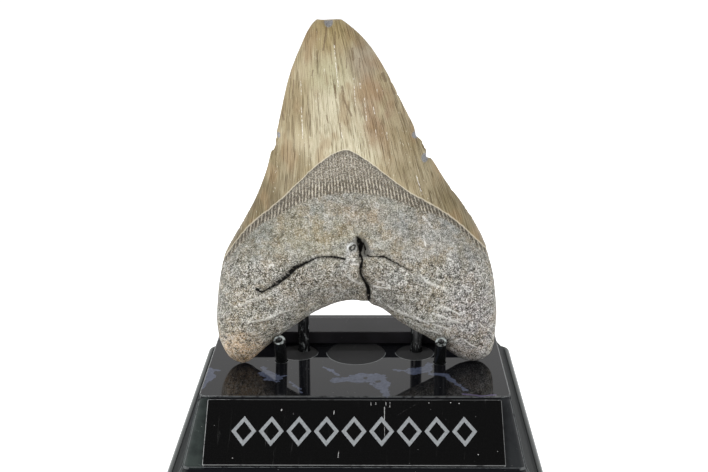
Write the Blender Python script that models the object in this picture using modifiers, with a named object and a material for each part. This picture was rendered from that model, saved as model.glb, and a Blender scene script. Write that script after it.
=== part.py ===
"""A large fossil shark tooth resting on a black display stand.

Lengths are in millimetres up here and in metres in the scene, +Z up. The origin is the middle of
the stand's underside, and the front of the stand, with its nameplate, faces -Y.
"""

import math

import bmesh
import bpy
import numpy as np
from mathutils import Matrix, Vector, noise
from mathutils.geometry import delaunay_2d_cdt

MM = 0.001
FIT_GAP = 0.3          # air kept between pieces that touch

# Stand
DECK_WIDTH = 120.0
DECK_DEPTH = 82.0
BASE_HEIGHT = 32.0
SLOPE_RUN = 22.4       # how far the slanted front comes forward
SLOPE_DROP = 18.4      # and how far it comes down
WAIST_WIDTH = 128.0    # width at the foot of the slanted front
FOOT_WIDTH = 145.4
FOOT_DEPTH = 142.0
FLANGE_HEIGHT = 4.0
FLANGE_STEP = 2.6      # how far the foot flange stands out from the wall
EDGE_BEVEL = 0.7
FOOT_CORNER = 6.6
DECK_CORNER = 1.3

SEAT_DEPTH = 0.5
SEAT_RADII = (8.0, 12.2, 8.0)
SEAT_X = (-24.0, 0.0, 24.5)

BAR_WIDTH = 104.0
BAR_FRONT = 7.4
BAR_DEPTH = 16.0
BAR_HEIGHT = 6.0
BAR_UNDERCUT = 0.9     # bevel along its lower edges, which leaves a shadow on the deck

PLATE_WIDTH = 112.2
PLATE_HEIGHT = 26.4
PLATE_THICKNESS = 1.5
PLATE_FALL = 0.8       # how far its middle lies below the middle of the slope

PEG_RADIUS = 2.4
PEG_SIDES = 24
PEG_SOCKET = 5.0       # length inside its drilled hole
PEG_RIM = 0.55         # rounding of the end
PEG_DISH = 0.7         # depth of the dimple in the end
PEGS = {               # name: (x, y on the deck, length above it, lean to the back in degrees)
    "peg_front_left": (-30.6, -8.4, 14.4, -30.0),
    "peg_front_right": (34.4, -9.9, 14.4, -30.5),
    "peg_rear_left": (-22.0, 3.4, 21.0, -7.0),
    "peg_rear_right": (25.3, 3.0, 21.0, 6.5),
}

# Tooth, drawn in its own plane: u to the right, v up the tooth, w towards the viewer
TOOTH_LEAN = 10.0      # degrees back from upright
TOOTH_TURN = 1.5       # degrees about the upright, left lobe towards the viewer
TOOTH_FOOT_Y = -10.5   # where its middle plane meets the deck
MESH_STEP = 2.8        # size of its facets
RIM_STEP = 2.7
FINE_STEP = 2.1        # along cracks and the enamel's edge

ROOT_AND_ARCH = [
    (-47.0, -1.1), (-43.1, 0.1), (-38.9, 3.7), (-34.7, 7.2), (-30.5, 10.8), (-26.3, 13.6),
    (-22.9, 16.3), (-19.5, 19.1), (-16.2, 21.6), (-11.9, 23.8), (-7.0, 25.6), (-2.0, 26.4),
    (2.4, 26.4), (4.8, 27.6), (6.4, 25.3), (9.1, 23.6), (13.0, 21.0), (16.2, 18.2), (19.6, 15.9),
    (24.6, 12.2), (29.6, 8.7), (36.3, 4.3), (41.3, 0.6), (46.2, -1.0), (50.6, -0.8), (54.5, 1.9),
    (56.3, 6.0), (57.0, 12.6), (57.4, 19.3), (56.9, 26.0), (56.2, 32.8), (55.0, 38.9),
]
RIGHT_CUTTING_EDGE = [
    (52.2, 47.9), (48.9, 54.6), (45.6, 60.0), (41.8, 65.6), (37.4, 71.4), (33.6, 77.2),
    (30.4, 82.3), (28.0, 83.7), (28.6, 85.8), (26.6, 89.5), (24.3, 90.9), (23.8, 94.4),
    (21.4, 99.2), (18.2, 105.6), (15.1, 111.9), (11.9, 117.9), (7.7, 124.7), (2.9, 130.6),
    (-2.6, 135.4),
]
TIP = [(-6.7, 138.0), (-10.0, 138.4), (-13.3, 137.9)]
LEFT_CUTTING_EDGE = [
    (-15.5, 136.2), (-18.0, 132.7), (-20.5, 127.5), (-22.7, 122.7), (-24.6, 117.9), (-26.3, 112.4),
    (-27.7, 106.9), (-29.0, 101.3), (-30.2, 95.7), (-31.4, 90.0), (-30.9, 87.8), (-32.9, 86.3),
    (-34.7, 79.4), (-37.5, 71.7), (-40.7, 64.9), (-44.5, 58.4), (-48.0, 52.6), (-50.6, 48.2),
    (-52.8, 43.9), (-54.3, 38.8), (-55.5, 32.2), (-56.3, 25.4), (-56.8, 18.7), (-56.5, 13.2),
    (-55.4, 8.3), (-53.1, 3.3), (-50.3, 0.2),
]
TOOTH_OUTLINE = ROOT_AND_ARCH + RIGHT_CUTTING_EDGE + TIP + LEFT_CUTTING_EDGE

ENAMEL_EDGE_FRONT = [
    (-57.3, 36.2), (-52.8, 42.8), (-46.4, 52.2), (-40.5, 58.9), (-33.8, 64.7), (-27.3, 70.0),
    (-20.7, 76.4), (-15.4, 81.6), (-9.4, 85.8), (-4.0, 87.7), (1.6, 85.8), (7.1, 81.9),
    (13.5, 76.5), (20.6, 71.2), (27.9, 67.1), (35.2, 62.2), (41.7, 56.9), (46.7, 51.9),
    (53.3, 45.0), (58.6, 38.3),
]
ENAMEL_EDGE_BACK = [
    (-57.0, 37.0), (-46.0, 44.0), (-30.0, 50.5), (-12.0, 54.5), (4.0, 54.0), (24.0, 50.5),
    (44.0, 45.5), (60.0, 39.0),
]
BAND_LOWER_EDGE = [
    (-57.3, 36.2), (-41.2, 54.3), (-32.1, 60.2), (-24.8, 64.3), (-17.6, 67.8), (-4.7, 70.4),
    (7.0, 69.8), (17.4, 66.6), (25.2, 63.0), (33.5, 60.0), (43.7, 52.6), (58.6, 37.3),
]
CRACK_LEFT = [
    (-3.3, 47.0), (-8.6, 47.4), (-13.1, 47.0), (-17.9, 45.6), (-22.5, 42.5), (-27.3, 38.7),
    (-33.3, 34.7), (-37.9, 32.4),
]
CRACK_RIGHT = [(4.1, 47.1), (11.0, 46.8), (14.8, 44.7), (19.5, 41.9), (23.2, 39.8)]
CRACK_DOWN = [(1.6, 45.9), (1.6, 43.8), (2.5, 40.3), (4.0, 36.8), (5.2, 32.5), (4.8, 30.9)]
CRACKS = (CRACK_LEFT, CRACK_RIGHT, CRACK_DOWN)
CRACK_DEPTH = 1.5
CRACK_HALF_WIDTH = 0.8

FORAMEN = (1.3, 50.9)
FORAMEN_RADIUS = 3.3
FORAMEN_DEPTH = 4.2
ENAMEL_STEP = 0.8      # how far the enamel stands over the band below it
ROOT_STEP = 0.7        # and the root over that band

TOOTH_TOP = 140.0
CROWN_FRONT = 17.0     # greatest depth of the crown in front of the cutting edges
CROWN_BACK = 6.5
CROWN_FOOT = 44.0
CROWN_BLEND = 28.0     # height over which the root turns into the crown
CROWN_CURVE = 0.85     # 1 is a parabola across the crown, less is fuller
ROOT_FRONT = 9.5       # depth of the root at the ends of its lobes
ROOT_BACK = 8.6
ROOT_SWELL = 5.5       # what the root gains up to its middle
BOSS_SWELL = 5.0       # and what the boss round the nutrient hole adds
BACK_SWELL = 0.9       # the same behind, where the pegs touch
BACK_HOLLOW = 2.6      # and what the back loses from there up to the enamel
ROOT_ROUNDING = 13.0   # reach of the rounding of the root's rim
RIM_RELIEF = 3.0       # surface detail fades out this near to the rim
THINNEST = 0.35        # least depth of either skin
ARCH_THINNING = 0.34   # share of the depth that the root loses towards its arch
ARCH_REACH = 8.0
ARCH_HALF_SPAN = 44.0
TIP_BOW = 2.2          # how far the tip bends to the back


def smooth_step(low, high, value):
    """Eases from 0 at low to 1 at high."""
    t = np.clip((np.asarray(value, float) - low) / (high - low), 0.0, 1.0)
    return t * t * (3.0 - 2.0 * t)


def smooth_line(points, spacing, closed=False):
    """A curve through the points, with a vertex on each of them and one about every spacing."""
    pts = np.array(points, float)
    count = len(pts)
    spans = count if closed else count - 1
    result = []
    for i in range(spans):
        if closed:
            before, start, end, after = (pts[(i + k) % count] for k in (-1, 0, 1, 2))
        else:
            before, start, end, after = (pts[min(max(i + k, 0), count - 1)] for k in (-1, 0, 1, 2))
        steps = max(1, round(np.linalg.norm(end - start) / spacing))
        for t in np.arange(steps) / steps:
            result.append(0.5 * (2 * start + (end - before) * t
                                 + (2 * before - 5 * start + 4 * end - after) * t ** 2
                                 + (3 * start - before - 3 * end + after) * t ** 3))
    if not closed:
        result.append(pts[-1])
    return np.array(result)


def distance_to_line(points, line, closed=False):
    """Distance from each point to the nearest place on the line."""
    starts = line if closed else line[:-1]
    ends = np.roll(line, -1, axis=0) if closed else line[1:]
    best = np.full(len(points), np.inf)
    for a, b in zip(starts, ends):
        along = b - a
        t = np.clip(((points - a) @ along) / max(along @ along, 1e-12), 0.0, 1.0)
        best = np.minimum(best, np.linalg.norm(points - (a + t[:, None] * along), axis=1))
    return best


def is_inside(points, loop):
    """Whether each point lies inside the closed loop."""
    inside = np.zeros(len(points), bool)
    for a, b in zip(loop, np.roll(loop, -1, axis=0)):
        crosses = (a[1] > points[:, 1]) != (b[1] > points[:, 1])
        rise = b[1] - a[1] if b[1] != a[1] else 1e-12
        at = a[0] + (points[:, 1] - a[1]) * (b[0] - a[0]) / rise
        inside ^= crosses & (points[:, 0] < at)
    return inside


def side_normals(line, closed=False):
    """Unit normals to the left of the line's direction, one for each vertex."""
    if closed:
        run = np.roll(line, -1, axis=0) - np.roll(line, 1, axis=0)
    else:
        run = np.gradient(line, axis=0)
    run = run / np.linalg.norm(run, axis=1)[:, None]
    return np.stack([-run[:, 1], run[:, 0]], axis=1)


def add_spaced(kept, new, clearance):
    """Adds the new points that stay clear of all that are kept already."""
    for point in new:
        if np.min(np.linalg.norm(kept - point, axis=1)) > clearance:
            kept = np.vstack([kept, point])
    return kept


def clumps(u, v, size, seed):
    """Smooth unevenness of a given size, between about -1 and 1."""
    return np.array([noise.noise(Vector((a / size + seed, b / size, seed))) for a, b in zip(u, v)])


def tooth_sheet(outline):
    """Flat triangles inside the outline, finer along the cracks, the enamel's edge and the hole."""
    points = outline.copy()
    rim_count = len(outline)
    for crack in CRACKS:
        line = smooth_line(crack, FINE_STEP)
        normals = side_normals(line)
        points = np.vstack([points, line])
        for side in (-1, 1):
            points = add_spaced(points, line + side * 1.5 * CRACK_HALF_WIDTH * normals, 0.9)
    ring = np.linspace(0, 2 * math.pi, 10, endpoint=False)
    hole = np.array(FORAMEN)
    points = add_spaced(points, [hole], 0.5)
    for reach in (0.55, 1.0, 1.6):
        around = hole + reach * FORAMEN_RADIUS * np.stack([np.cos(ring), np.sin(ring)], axis=1)
        points = add_spaced(points, around, 1.0)
    for edge in (ENAMEL_EDGE_FRONT, ENAMEL_EDGE_BACK):
        line = smooth_line(edge, MESH_STEP)
        normals = side_normals(line)
        for side in (-0.7, 0.7):
            shifted = line + side * normals
            clear = is_inside(shifted, outline) & (distance_to_line(shifted, outline, True) > 1.4)
            points = add_spaced(points, shifted[clear], 1.1)
    inward = side_normals(outline, closed=True)
    for inset in (0.8, 2.6):
        shifted = outline + inset * inward
        clear = is_inside(shifted, outline)
        clear &= distance_to_line(shifted, outline, True) > 0.9 * inset
        points = add_spaced(points, shifted[clear], 0.75 * min(inset, 2.0))
    low, high = outline.min(axis=0), outline.max(axis=0)
    row_height = MESH_STEP * math.sqrt(3) / 2
    rows = []
    for row in range(int((high[1] - low[1]) / row_height) + 1):
        across = np.arange(low[0] + (row % 2) * MESH_STEP / 2, high[0], MESH_STEP)
        rows.append(np.stack([across, np.full(len(across), low[1] + row * row_height)], axis=1))
    grid = np.vstack(rows)
    grid = grid[is_inside(grid, outline)]
    grid = grid[distance_to_line(grid, outline, True) > 4.2]
    points = add_spaced(points, grid, 0.62 * MESH_STEP)

    rim_edges = [(i, (i + 1) % rim_count) for i in range(rim_count)]
    while True:
        result = delaunay_2d_cdt([Vector(p) for p in points], rim_edges, [], 1, 1e-5)
        corners = np.array([tuple(p) for p in result[0]])
        faces = [tuple(face) for face in result[2]]
        on_rim = distance_to_line(corners, outline, True) < 1e-4
        chords = set()
        for face in faces:
            for a, b in zip(face, face[1:] + face[:1]):
                middle = (corners[a] + corners[b]) / 2
                if on_rim[a] and on_rim[b] and distance_to_line(middle[None], outline, True)[0] > 0.02:
                    chords.add(tuple(np.round(middle, 4)))
        if not chords:
            return corners, faces, on_rim
        points = np.vstack([points, sorted(chords)])


def edge_height(edge, u):
    """Height of a line across the tooth, at each u."""
    line = smooth_line(edge, 1.0)
    return np.interp(u, line[:, 0], line[:, 1])


def fair_edge(edge, v):
    """Sideways place of a cutting edge at each height, without its nicks."""
    crown = np.array([point for point in edge if point[1] > CROWN_FOOT])
    fair = np.polyfit(crown[:, 1], crown[:, 0], 4)
    return np.polyval(fair, np.clip(v, CROWN_FOOT, TOOTH_TOP))


def tooth_depths(points, outline):
    """How far the front stands before the middle plane, and the back behind it."""
    u, v = points[:, 0], points[:, 1]
    rim = distance_to_line(points, outline, closed=True)

    u_left, u_right = (fair_edge(edge, v) for edge in (LEFT_CUTTING_EDGE, RIGHT_CUTTING_EDGE))
    half = np.maximum((u_right - u_left) / 2, 1.0)
    across = np.clip(np.abs(u - (u_right + u_left) / 2) / half, 0.0, 1.0)
    lens = np.minimum((1.0 - across ** 2) ** CROWN_CURVE, (rim / RIM_RELIEF) ** 0.8 + 0.02)
    up_crown = np.clip((v - CROWN_FOOT) / (TOOTH_TOP + 5.0 - CROWN_FOOT), 0.0, 1.0)
    crown = 1.0 - up_crown ** 2.1

    rounding = np.sqrt(1.0 - (1.0 - np.clip(rim / ROOT_ROUNDING, 0.0, 1.0)) ** 2)
    swell = smooth_step(-4.0, 44.0, v)
    boss = np.exp(-((u - 1.0) / 24.0) ** 2 - ((v - 55.0) / 17.0) ** 2)
    arch = smooth_line([point for point in ROOT_AND_ARCH if abs(point[0]) < ARCH_HALF_SPAN], 2.0)
    thinning = 1.0 - ARCH_THINNING * np.exp(-(distance_to_line(points, arch) / ARCH_REACH) ** 2)
    root_front = (ROOT_FRONT + ROOT_SWELL * swell + BOSS_SWELL * boss) * rounding * thinning
    hollow = BACK_SWELL * smooth_step(-4.0, 20.0, v) - BACK_HOLLOW * smooth_step(24.0, 54.0, v)
    root_back = (ROOT_BACK + hollow) * rounding

    to_crown = smooth_step(CROWN_FOOT, CROWN_FOOT + CROWN_BLEND, v)
    front = (1 - to_crown) * root_front + to_crown * CROWN_FRONT * crown * lens
    back = (1 - to_crown) * root_back + to_crown * CROWN_BACK * crown * lens

    relief = np.clip(rim / RIM_RELIEF, 0.0, 1.0)
    above = v - edge_height(ENAMEL_EDGE_FRONT, u)
    below = edge_height(BAND_LOWER_EDGE, u) - v
    front += relief * (ENAMEL_STEP * smooth_step(-0.7, 0.7, above)
                       + ROOT_STEP * smooth_step(-1.5, 2.5, below))
    back += relief * ENAMEL_STEP * smooth_step(-0.7, 0.7, v - edge_height(ENAMEL_EDGE_BACK, u))

    on_root = smooth_step(0.0, 4.0, below)
    front += relief * on_root * (0.55 * clumps(u, v, 14.0, 3.1) + 0.35 * clumps(u, v, 6.0, 8.4))
    back += relief * (1 - to_crown) * (0.5 * clumps(u, v, 13.0, 5.7) + 0.3 * clumps(u, v, 6.0, 1.9))
    for crack in CRACKS:
        away = distance_to_line(points, smooth_line(crack, 1.0))
        front -= relief * CRACK_DEPTH * np.clip(1.0 - away / CRACK_HALF_WIDTH, 0.0, 1.0)
    hole = np.hypot(u - FORAMEN[0], v - FORAMEN[1]) / FORAMEN_RADIUS
    front -= FORAMEN_DEPTH * (1 - smooth_step(0.35, 1.15, hole))
    return front, back


def add_object(name, mesh, collection):
    """Puts a mesh in a collection under a name."""
    obj = bpy.data.objects.new(name, mesh)
    collection.objects.link(obj)
    return obj


def plain_material(name, colour, roughness, metallic=0.0):
    """One finish of the part."""
    material = bpy.data.materials.new(name)
    material.use_nodes = True
    shader = material.node_tree.nodes["Principled BSDF"]
    shader.inputs["Base Color"].default_value = (*colour, 1.0)
    shader.inputs["Roughness"].default_value = roughness
    shader.inputs["Metallic"].default_value = metallic
    return material


def shade_round(mesh, angle=35.0):
    """Smooth shading, with edges sharper than the angle kept crisp."""
    mesh.shade_smooth()
    mesh.set_sharp_from_angle(angle=math.radians(angle))


def make_tooth(collection):
    """The fossil: two skins over one outline, sharing the rim, leaned back on the deck."""
    outline = smooth_line(TOOTH_OUTLINE, RIM_STEP, closed=True)
    points, faces, on_rim = tooth_sheet(outline)
    front, back = tooth_depths(points, outline)
    bow = -TIP_BOW * np.clip((points[:, 1] - 60.0) / 80.0, 0.0, 1.0) ** 2

    bm = bmesh.new()
    front_corners = []
    back_corners = []
    for (u, v), ahead, behind, middle, rim in zip(points, front, back, bow, on_rim):
        if rim:
            corner = bm.verts.new((u, v, middle))
            front_corners.append(corner)
            back_corners.append(corner)
        else:
            front_corners.append(bm.verts.new((u, v, middle + max(ahead, THINNEST))))
            back_corners.append(bm.verts.new((u, v, middle - max(behind, THINNEST))))
    for face in faces:
        bm.faces.new([front_corners[i] for i in face])
        bm.faces.new([back_corners[i] for i in reversed(face)])
    bmesh.ops.recalc_face_normals(bm, faces=bm.faces[:])

    lean = math.radians(TOOTH_LEAN)
    stand_up = Matrix((
        (1, 0, 0, 0),
        (0, math.sin(lean), -math.cos(lean), TOOTH_FOOT_Y),
        (0, math.cos(lean), math.sin(lean), 0),
        (0, 0, 0, 1),
    ))
    bm.transform(Matrix.Rotation(math.radians(TOOTH_TURN), 4, "Z") @ stand_up)
    lowest = min(corner.co.z for corner in bm.verts)
    bmesh.ops.translate(bm, verts=bm.verts[:], vec=(0, 0, BASE_HEIGHT + FIT_GAP - lowest))
    bmesh.ops.scale(bm, verts=bm.verts[:], vec=(MM, MM, MM))
    mesh = bpy.data.meshes.new("tooth")
    bm.to_mesh(mesh)
    bm.free()
    shade_round(mesh, 50.0)
    mesh.materials.append(plain_material("fossil", (0.28, 0.24, 0.19), 0.55))
    return add_object("tooth", mesh, collection)


def base_rings():
    """Height, half width, half depth and corner radius of the base, from the underside up."""
    foot_x, foot_y = FOOT_WIDTH / 2, FOOT_DEPTH / 2
    wall_x, wall_y = foot_x - FLANGE_STEP, foot_y - FLANGE_STEP
    waist_x, waist_y = WAIST_WIDTH / 2, DECK_DEPTH / 2 + SLOPE_RUN
    deck_x, deck_y = DECK_WIDTH / 2, DECK_DEPTH / 2
    waist_z = BASE_HEIGHT - SLOPE_DROP
    top = FLANGE_HEIGHT
    soft = EDGE_BEVEL
    return [
        (0.0, foot_x - soft, foot_y - soft, FOOT_CORNER - soft),
        (soft, foot_x, foot_y, FOOT_CORNER),
        (top - 1.6, foot_x, foot_y, FOOT_CORNER),
        (top - 0.5, foot_x - 0.45, foot_y - 0.45, FOOT_CORNER - 0.45),
        (top, foot_x - 1.3, foot_y - 1.3, FOOT_CORNER - 1.3),
        (top + 0.05, wall_x - 0.5, wall_y - 0.5, 3.4),
        (top + 0.7, wall_x, wall_y, 3.6),
        (0.5 * (top + waist_z), 0.5 * (wall_x + waist_x) - 0.5, 0.5 * (wall_y + waist_y), 2.4),
        (waist_z - soft, waist_x + 0.3 * soft, waist_y + 0.2 * soft, 1.7),
        (waist_z + 0.6 * soft, waist_x - 0.2 * soft, waist_y - soft, 1.6),
        (BASE_HEIGHT - soft, deck_x + 0.2 * soft, deck_y + soft, DECK_CORNER),
        (BASE_HEIGHT, deck_x - 0.6 * soft, deck_y - 0.5 * soft, DECK_CORNER - 0.4),
    ]


def rounded_rectangle(half_x, half_y, radius, arc_steps=4):
    """Corners of a rounded rectangle, anticlockwise from the right side."""
    points = []
    for quarter, (sx, sy) in enumerate(((1, 1), (-1, 1), (-1, -1), (1, -1))):
        for step in range(arc_steps + 1):
            angle = (quarter + step / arc_steps) * math.pi / 2
            points.append((sx * (half_x - radius) + radius * math.cos(angle),
                           sy * (half_y - radius) + radius * math.sin(angle)))
    return points


def deck_cutter(name, radius, depth, place, lean, collection):
    """A cylinder that cuts down into the deck, with half its length above it."""
    bm = bmesh.new()
    bmesh.ops.create_cone(bm, cap_ends=True, segments=40, radius1=radius * MM, radius2=radius * MM,
                          depth=2 * depth * MM)
    mesh = bpy.data.meshes.new(name)
    bm.to_mesh(mesh)
    bm.free()
    cutter = add_object(name, mesh, collection)
    cutter.location = [value * MM for value in place]
    cutter.rotation_euler = (math.radians(-lean), 0, 0)
    cutter.hide_render = True
    cutter.display_type = "WIRE"
    return cutter


def make_base(collection, cutters):
    """The moulded body: a loft of rounded rectangles, then its seats and drilled peg holes."""
    bm = bmesh.new()
    rings = []
    for height, half_x, half_y, radius in base_rings():
        rings.append([bm.verts.new((x * MM, y * MM, height * MM))
                      for x, y in rounded_rectangle(half_x, half_y, radius)])
    for lower, upper in zip(rings, rings[1:]):
        for i in range(len(lower)):
            j = (i + 1) % len(lower)
            bm.faces.new((lower[i], lower[j], upper[j], upper[i]))
    bm.faces.new(rings[0][::-1])
    bm.faces.new(rings[-1])
    mesh = bpy.data.meshes.new("base")
    bm.to_mesh(mesh)
    bm.free()
    mesh.materials.append(plain_material("marbled_black", (0.012, 0.012, 0.015), 0.08))
    base = add_object("base", mesh, collection)

    holes = []
    for index, (x, radius) in enumerate(zip(SEAT_X, SEAT_RADII)):
        holes.append(deck_cutter(f"seat_{index}", radius, SEAT_DEPTH, (x, 0, BASE_HEIGHT), 0, cutters))
    for name, (x, y, _, lean) in PEGS.items():
        holes.append(deck_cutter(f"hole_{name}", PEG_RADIUS + FIT_GAP, PEG_SOCKET + FIT_GAP,
                                 (x, y, BASE_HEIGHT), lean, cutters))
    for hole in holes:
        cut = base.modifiers.new(hole.name, "BOOLEAN")
        cut.operation = "DIFFERENCE"
        cut.solver = "EXACT"
        cut.object = hole
    return base


def bevelled_box(name, size, bevel, material, collection):
    """A box with small bevelled edges, its middle at its own origin."""
    bm = bmesh.new()
    bmesh.ops.create_cube(bm, size=1.0)
    bmesh.ops.scale(bm, verts=bm.verts[:], vec=[side * MM for side in size])
    mesh = bpy.data.meshes.new(name)
    bm.to_mesh(mesh)
    bm.free()
    mesh.materials.append(material)
    box = add_object(name, mesh, collection)
    edge = box.modifiers.new("edges", "BEVEL")
    edge.width = bevel * MM
    edge.segments = 2
    return box


def make_rear_bar(collection):
    """The flat bar across the back half of the deck."""
    material = plain_material("bar_black", (0.012, 0.012, 0.015), 0.08)
    height = BAR_HEIGHT - FIT_GAP
    bar = bevelled_box("rear_bar", (BAR_WIDTH, BAR_DEPTH, height), BAR_UNDERCUT, material, collection)
    bm = bmesh.new()
    bm.from_mesh(bar.data)
    weight = bm.edges.layers.float.new("bevel_weight_edge")
    for edge in bm.edges:
        ends = [corner.co.z for corner in edge.verts]
        edge[weight] = 1.0 if max(ends) < 0 else 0.35
    bm.to_mesh(bar.data)
    bm.free()
    bar.modifiers["edges"].limit_method = "WEIGHT"
    bar.location = (0, (BAR_FRONT + BAR_DEPTH / 2) * MM, (BASE_HEIGHT + FIT_GAP + height / 2) * MM)
    return bar


def make_nameplate(collection):
    """The thin plate on the slanted front."""
    material = plain_material("plate_black", (0.008, 0.008, 0.009), 0.06)
    plate = bevelled_box("nameplate", (PLATE_WIDTH, PLATE_HEIGHT, PLATE_THICKNESS), 0.3, material,
                         collection)
    tilt = math.atan2(SLOPE_DROP, SLOPE_RUN)
    offset = FIT_GAP + PLATE_THICKNESS / 2
    plate.rotation_euler = (tilt, 0, 0)
    plate.location = (
        0,
        -(DECK_DEPTH / 2 + SLOPE_RUN / 2 + offset * math.sin(tilt) + PLATE_FALL * math.cos(tilt)) * MM,
        (BASE_HEIGHT - SLOPE_DROP / 2 + offset * math.cos(tilt) - PLATE_FALL * math.sin(tilt)) * MM,
    )
    return plate


def peg_profile(length, material):
    """Half section of a round peg with a rounded, dimpled end, its foot at the origin."""
    top = length + PEG_SOCKET
    profile = [(0.0, top - PEG_DISH), (0.45 * PEG_RADIUS, top - 0.8 * PEG_DISH),
               (PEG_RADIUS - 1.9 * PEG_RIM, top - 0.1)]
    for step in range(5):
        angle = math.pi / 2 * (1 - step / 4)
        profile.append((PEG_RADIUS - PEG_RIM + PEG_RIM * math.cos(angle),
                        top - PEG_RIM + PEG_RIM * math.sin(angle)))
    profile += [(PEG_RADIUS, 0.0), (0.0, 0.0)]
    bm = bmesh.new()
    corners = [bm.verts.new((x * MM, 0, z * MM)) for x, z in profile]
    for a, b in zip(corners, corners[1:]):
        bm.edges.new((a, b))
    mesh = bpy.data.meshes.new("peg")
    bm.to_mesh(mesh)
    bm.free()
    mesh.materials.append(material)
    return mesh


def make_pegs(collection):
    """Four pegs set in the deck, two in front of the tooth and two behind."""
    for name, (x, y, length, lean) in PEGS.items():
        material = plain_material(f"{name}_black", (0.01, 0.01, 0.01), 0.15)
        peg = add_object(name, peg_profile(length, material), collection)
        turn = peg.modifiers.new("turn", "SCREW")
        turn.axis = "Z"
        turn.steps = PEG_SIDES
        turn.render_steps = PEG_SIDES
        turn.use_merge_vertices = True
        turn.merge_threshold = 0.00001
        turn.use_smooth_shade = True
        back = Vector((0, math.sin(math.radians(lean)), math.cos(math.radians(lean))))
        foot = Vector((x, y, BASE_HEIGHT)) - PEG_SOCKET * back
        peg.location = foot * MM
        peg.rotation_euler = (math.radians(-lean), 0, 0)


def main():
    for obj in list(bpy.data.objects):
        bpy.data.objects.remove(obj, do_unlink=True)
    parts = bpy.data.collections.new("fossil_tooth_on_stand")
    cutters = bpy.data.collections.new("cutters")
    bpy.context.scene.collection.children.link(parts)
    bpy.context.scene.collection.children.link(cutters)

    make_base(parts, cutters)
    make_rear_bar(parts)
    make_nameplate(parts)
    make_pegs(parts)
    make_tooth(parts)


main()
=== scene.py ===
"""A large fossil shark tooth resting on a black display stand: the finish of every surface."""

import math

import bmesh
import bpy
import numpy as np
from mathutils import Matrix, Vector, kdtree, noise


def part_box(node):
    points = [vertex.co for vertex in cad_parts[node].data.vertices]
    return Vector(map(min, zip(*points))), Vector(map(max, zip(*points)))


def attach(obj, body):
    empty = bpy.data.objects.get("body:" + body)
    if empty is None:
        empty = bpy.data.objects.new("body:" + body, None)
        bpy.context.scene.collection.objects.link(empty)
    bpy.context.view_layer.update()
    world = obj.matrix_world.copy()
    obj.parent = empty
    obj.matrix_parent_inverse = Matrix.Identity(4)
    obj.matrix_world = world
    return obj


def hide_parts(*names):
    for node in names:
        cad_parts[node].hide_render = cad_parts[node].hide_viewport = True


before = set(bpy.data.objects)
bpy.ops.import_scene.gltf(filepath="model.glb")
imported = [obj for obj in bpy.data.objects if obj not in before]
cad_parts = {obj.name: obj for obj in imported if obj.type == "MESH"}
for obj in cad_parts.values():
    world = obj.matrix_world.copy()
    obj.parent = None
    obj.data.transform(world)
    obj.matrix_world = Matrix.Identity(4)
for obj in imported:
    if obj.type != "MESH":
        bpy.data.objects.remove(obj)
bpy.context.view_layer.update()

# The stand's body is one moulding in polished black plastic, printed with a blue-grey marble
# figure under its gloss. Its deck slopes down to the front for the nameplate, its sides flare to a
# small foot flange, and three round seats are sunk in the deck.
MM = 0.001
DECK_WIDTH, DECK_DEPTH = 120.0, 82.0
BASE_HEIGHT = 32.0
SLOPE_RUN, SLOPE_DROP = 22.4, 18.4
WAIST_WIDTH = 128.0
FLANGE_HEIGHT, FLANGE_STEP = 4.0, 2.6
FOOT_CORNER = 6.6
CORNER_HEIGHTS = (2, 4, 4.6, 8, 23)        # of the middles of the upright edges at each corner
CORNER_WEIGHTS = (1, 0.8, 0.28, 0.10, 0.055)       # their share of the foot's corner, at those heights
SEAT_DEPTH = 0.45
SEAT_PLACES = {-24.0: 8.0, 0.0: 12.2, 24.5: 8.0}
PEGS = {               # name: (x, y on the deck, length above it, lean to the back in degrees)
    "peg_front_left": (-30.6, -8.4, 14.4, -30.0),
    "peg_front_right": (34.4, -9.9, 14.4, -30.5),
    "peg_rear_left": (-22.0, 3.4, 21.0, -7.0),
    "peg_rear_right": (25.3, 3.0, 21.0, 6.5),
}
PEG_RADIUS = 2.4
PEG_SOCKET, SOCKET_GAP = 5.0, 0.25
PLAIN_AREA, SAME_PLANE = 30.0, 0.9985      # a large face in square mm, and how alike normals are in one
PALE_EDGE_WIDTH = 0.45
HIP_OUT, HIP_UP = (0.55, 0.70), (0.45, 0.70)       # where the middle of a rounded hip's faces points
DECK_GLOSS, FLANGE_GLOSS, WALL_GLOSS = 1.0, 0.55, 0.05
MOULDING_BLACK = (0.0065, 0.0068, 0.0085)
VEIN_BLUE = (0.088, 0.104, 0.158)
VEIN_PURPLE = (0.105, 0.085, 0.17)
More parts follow.
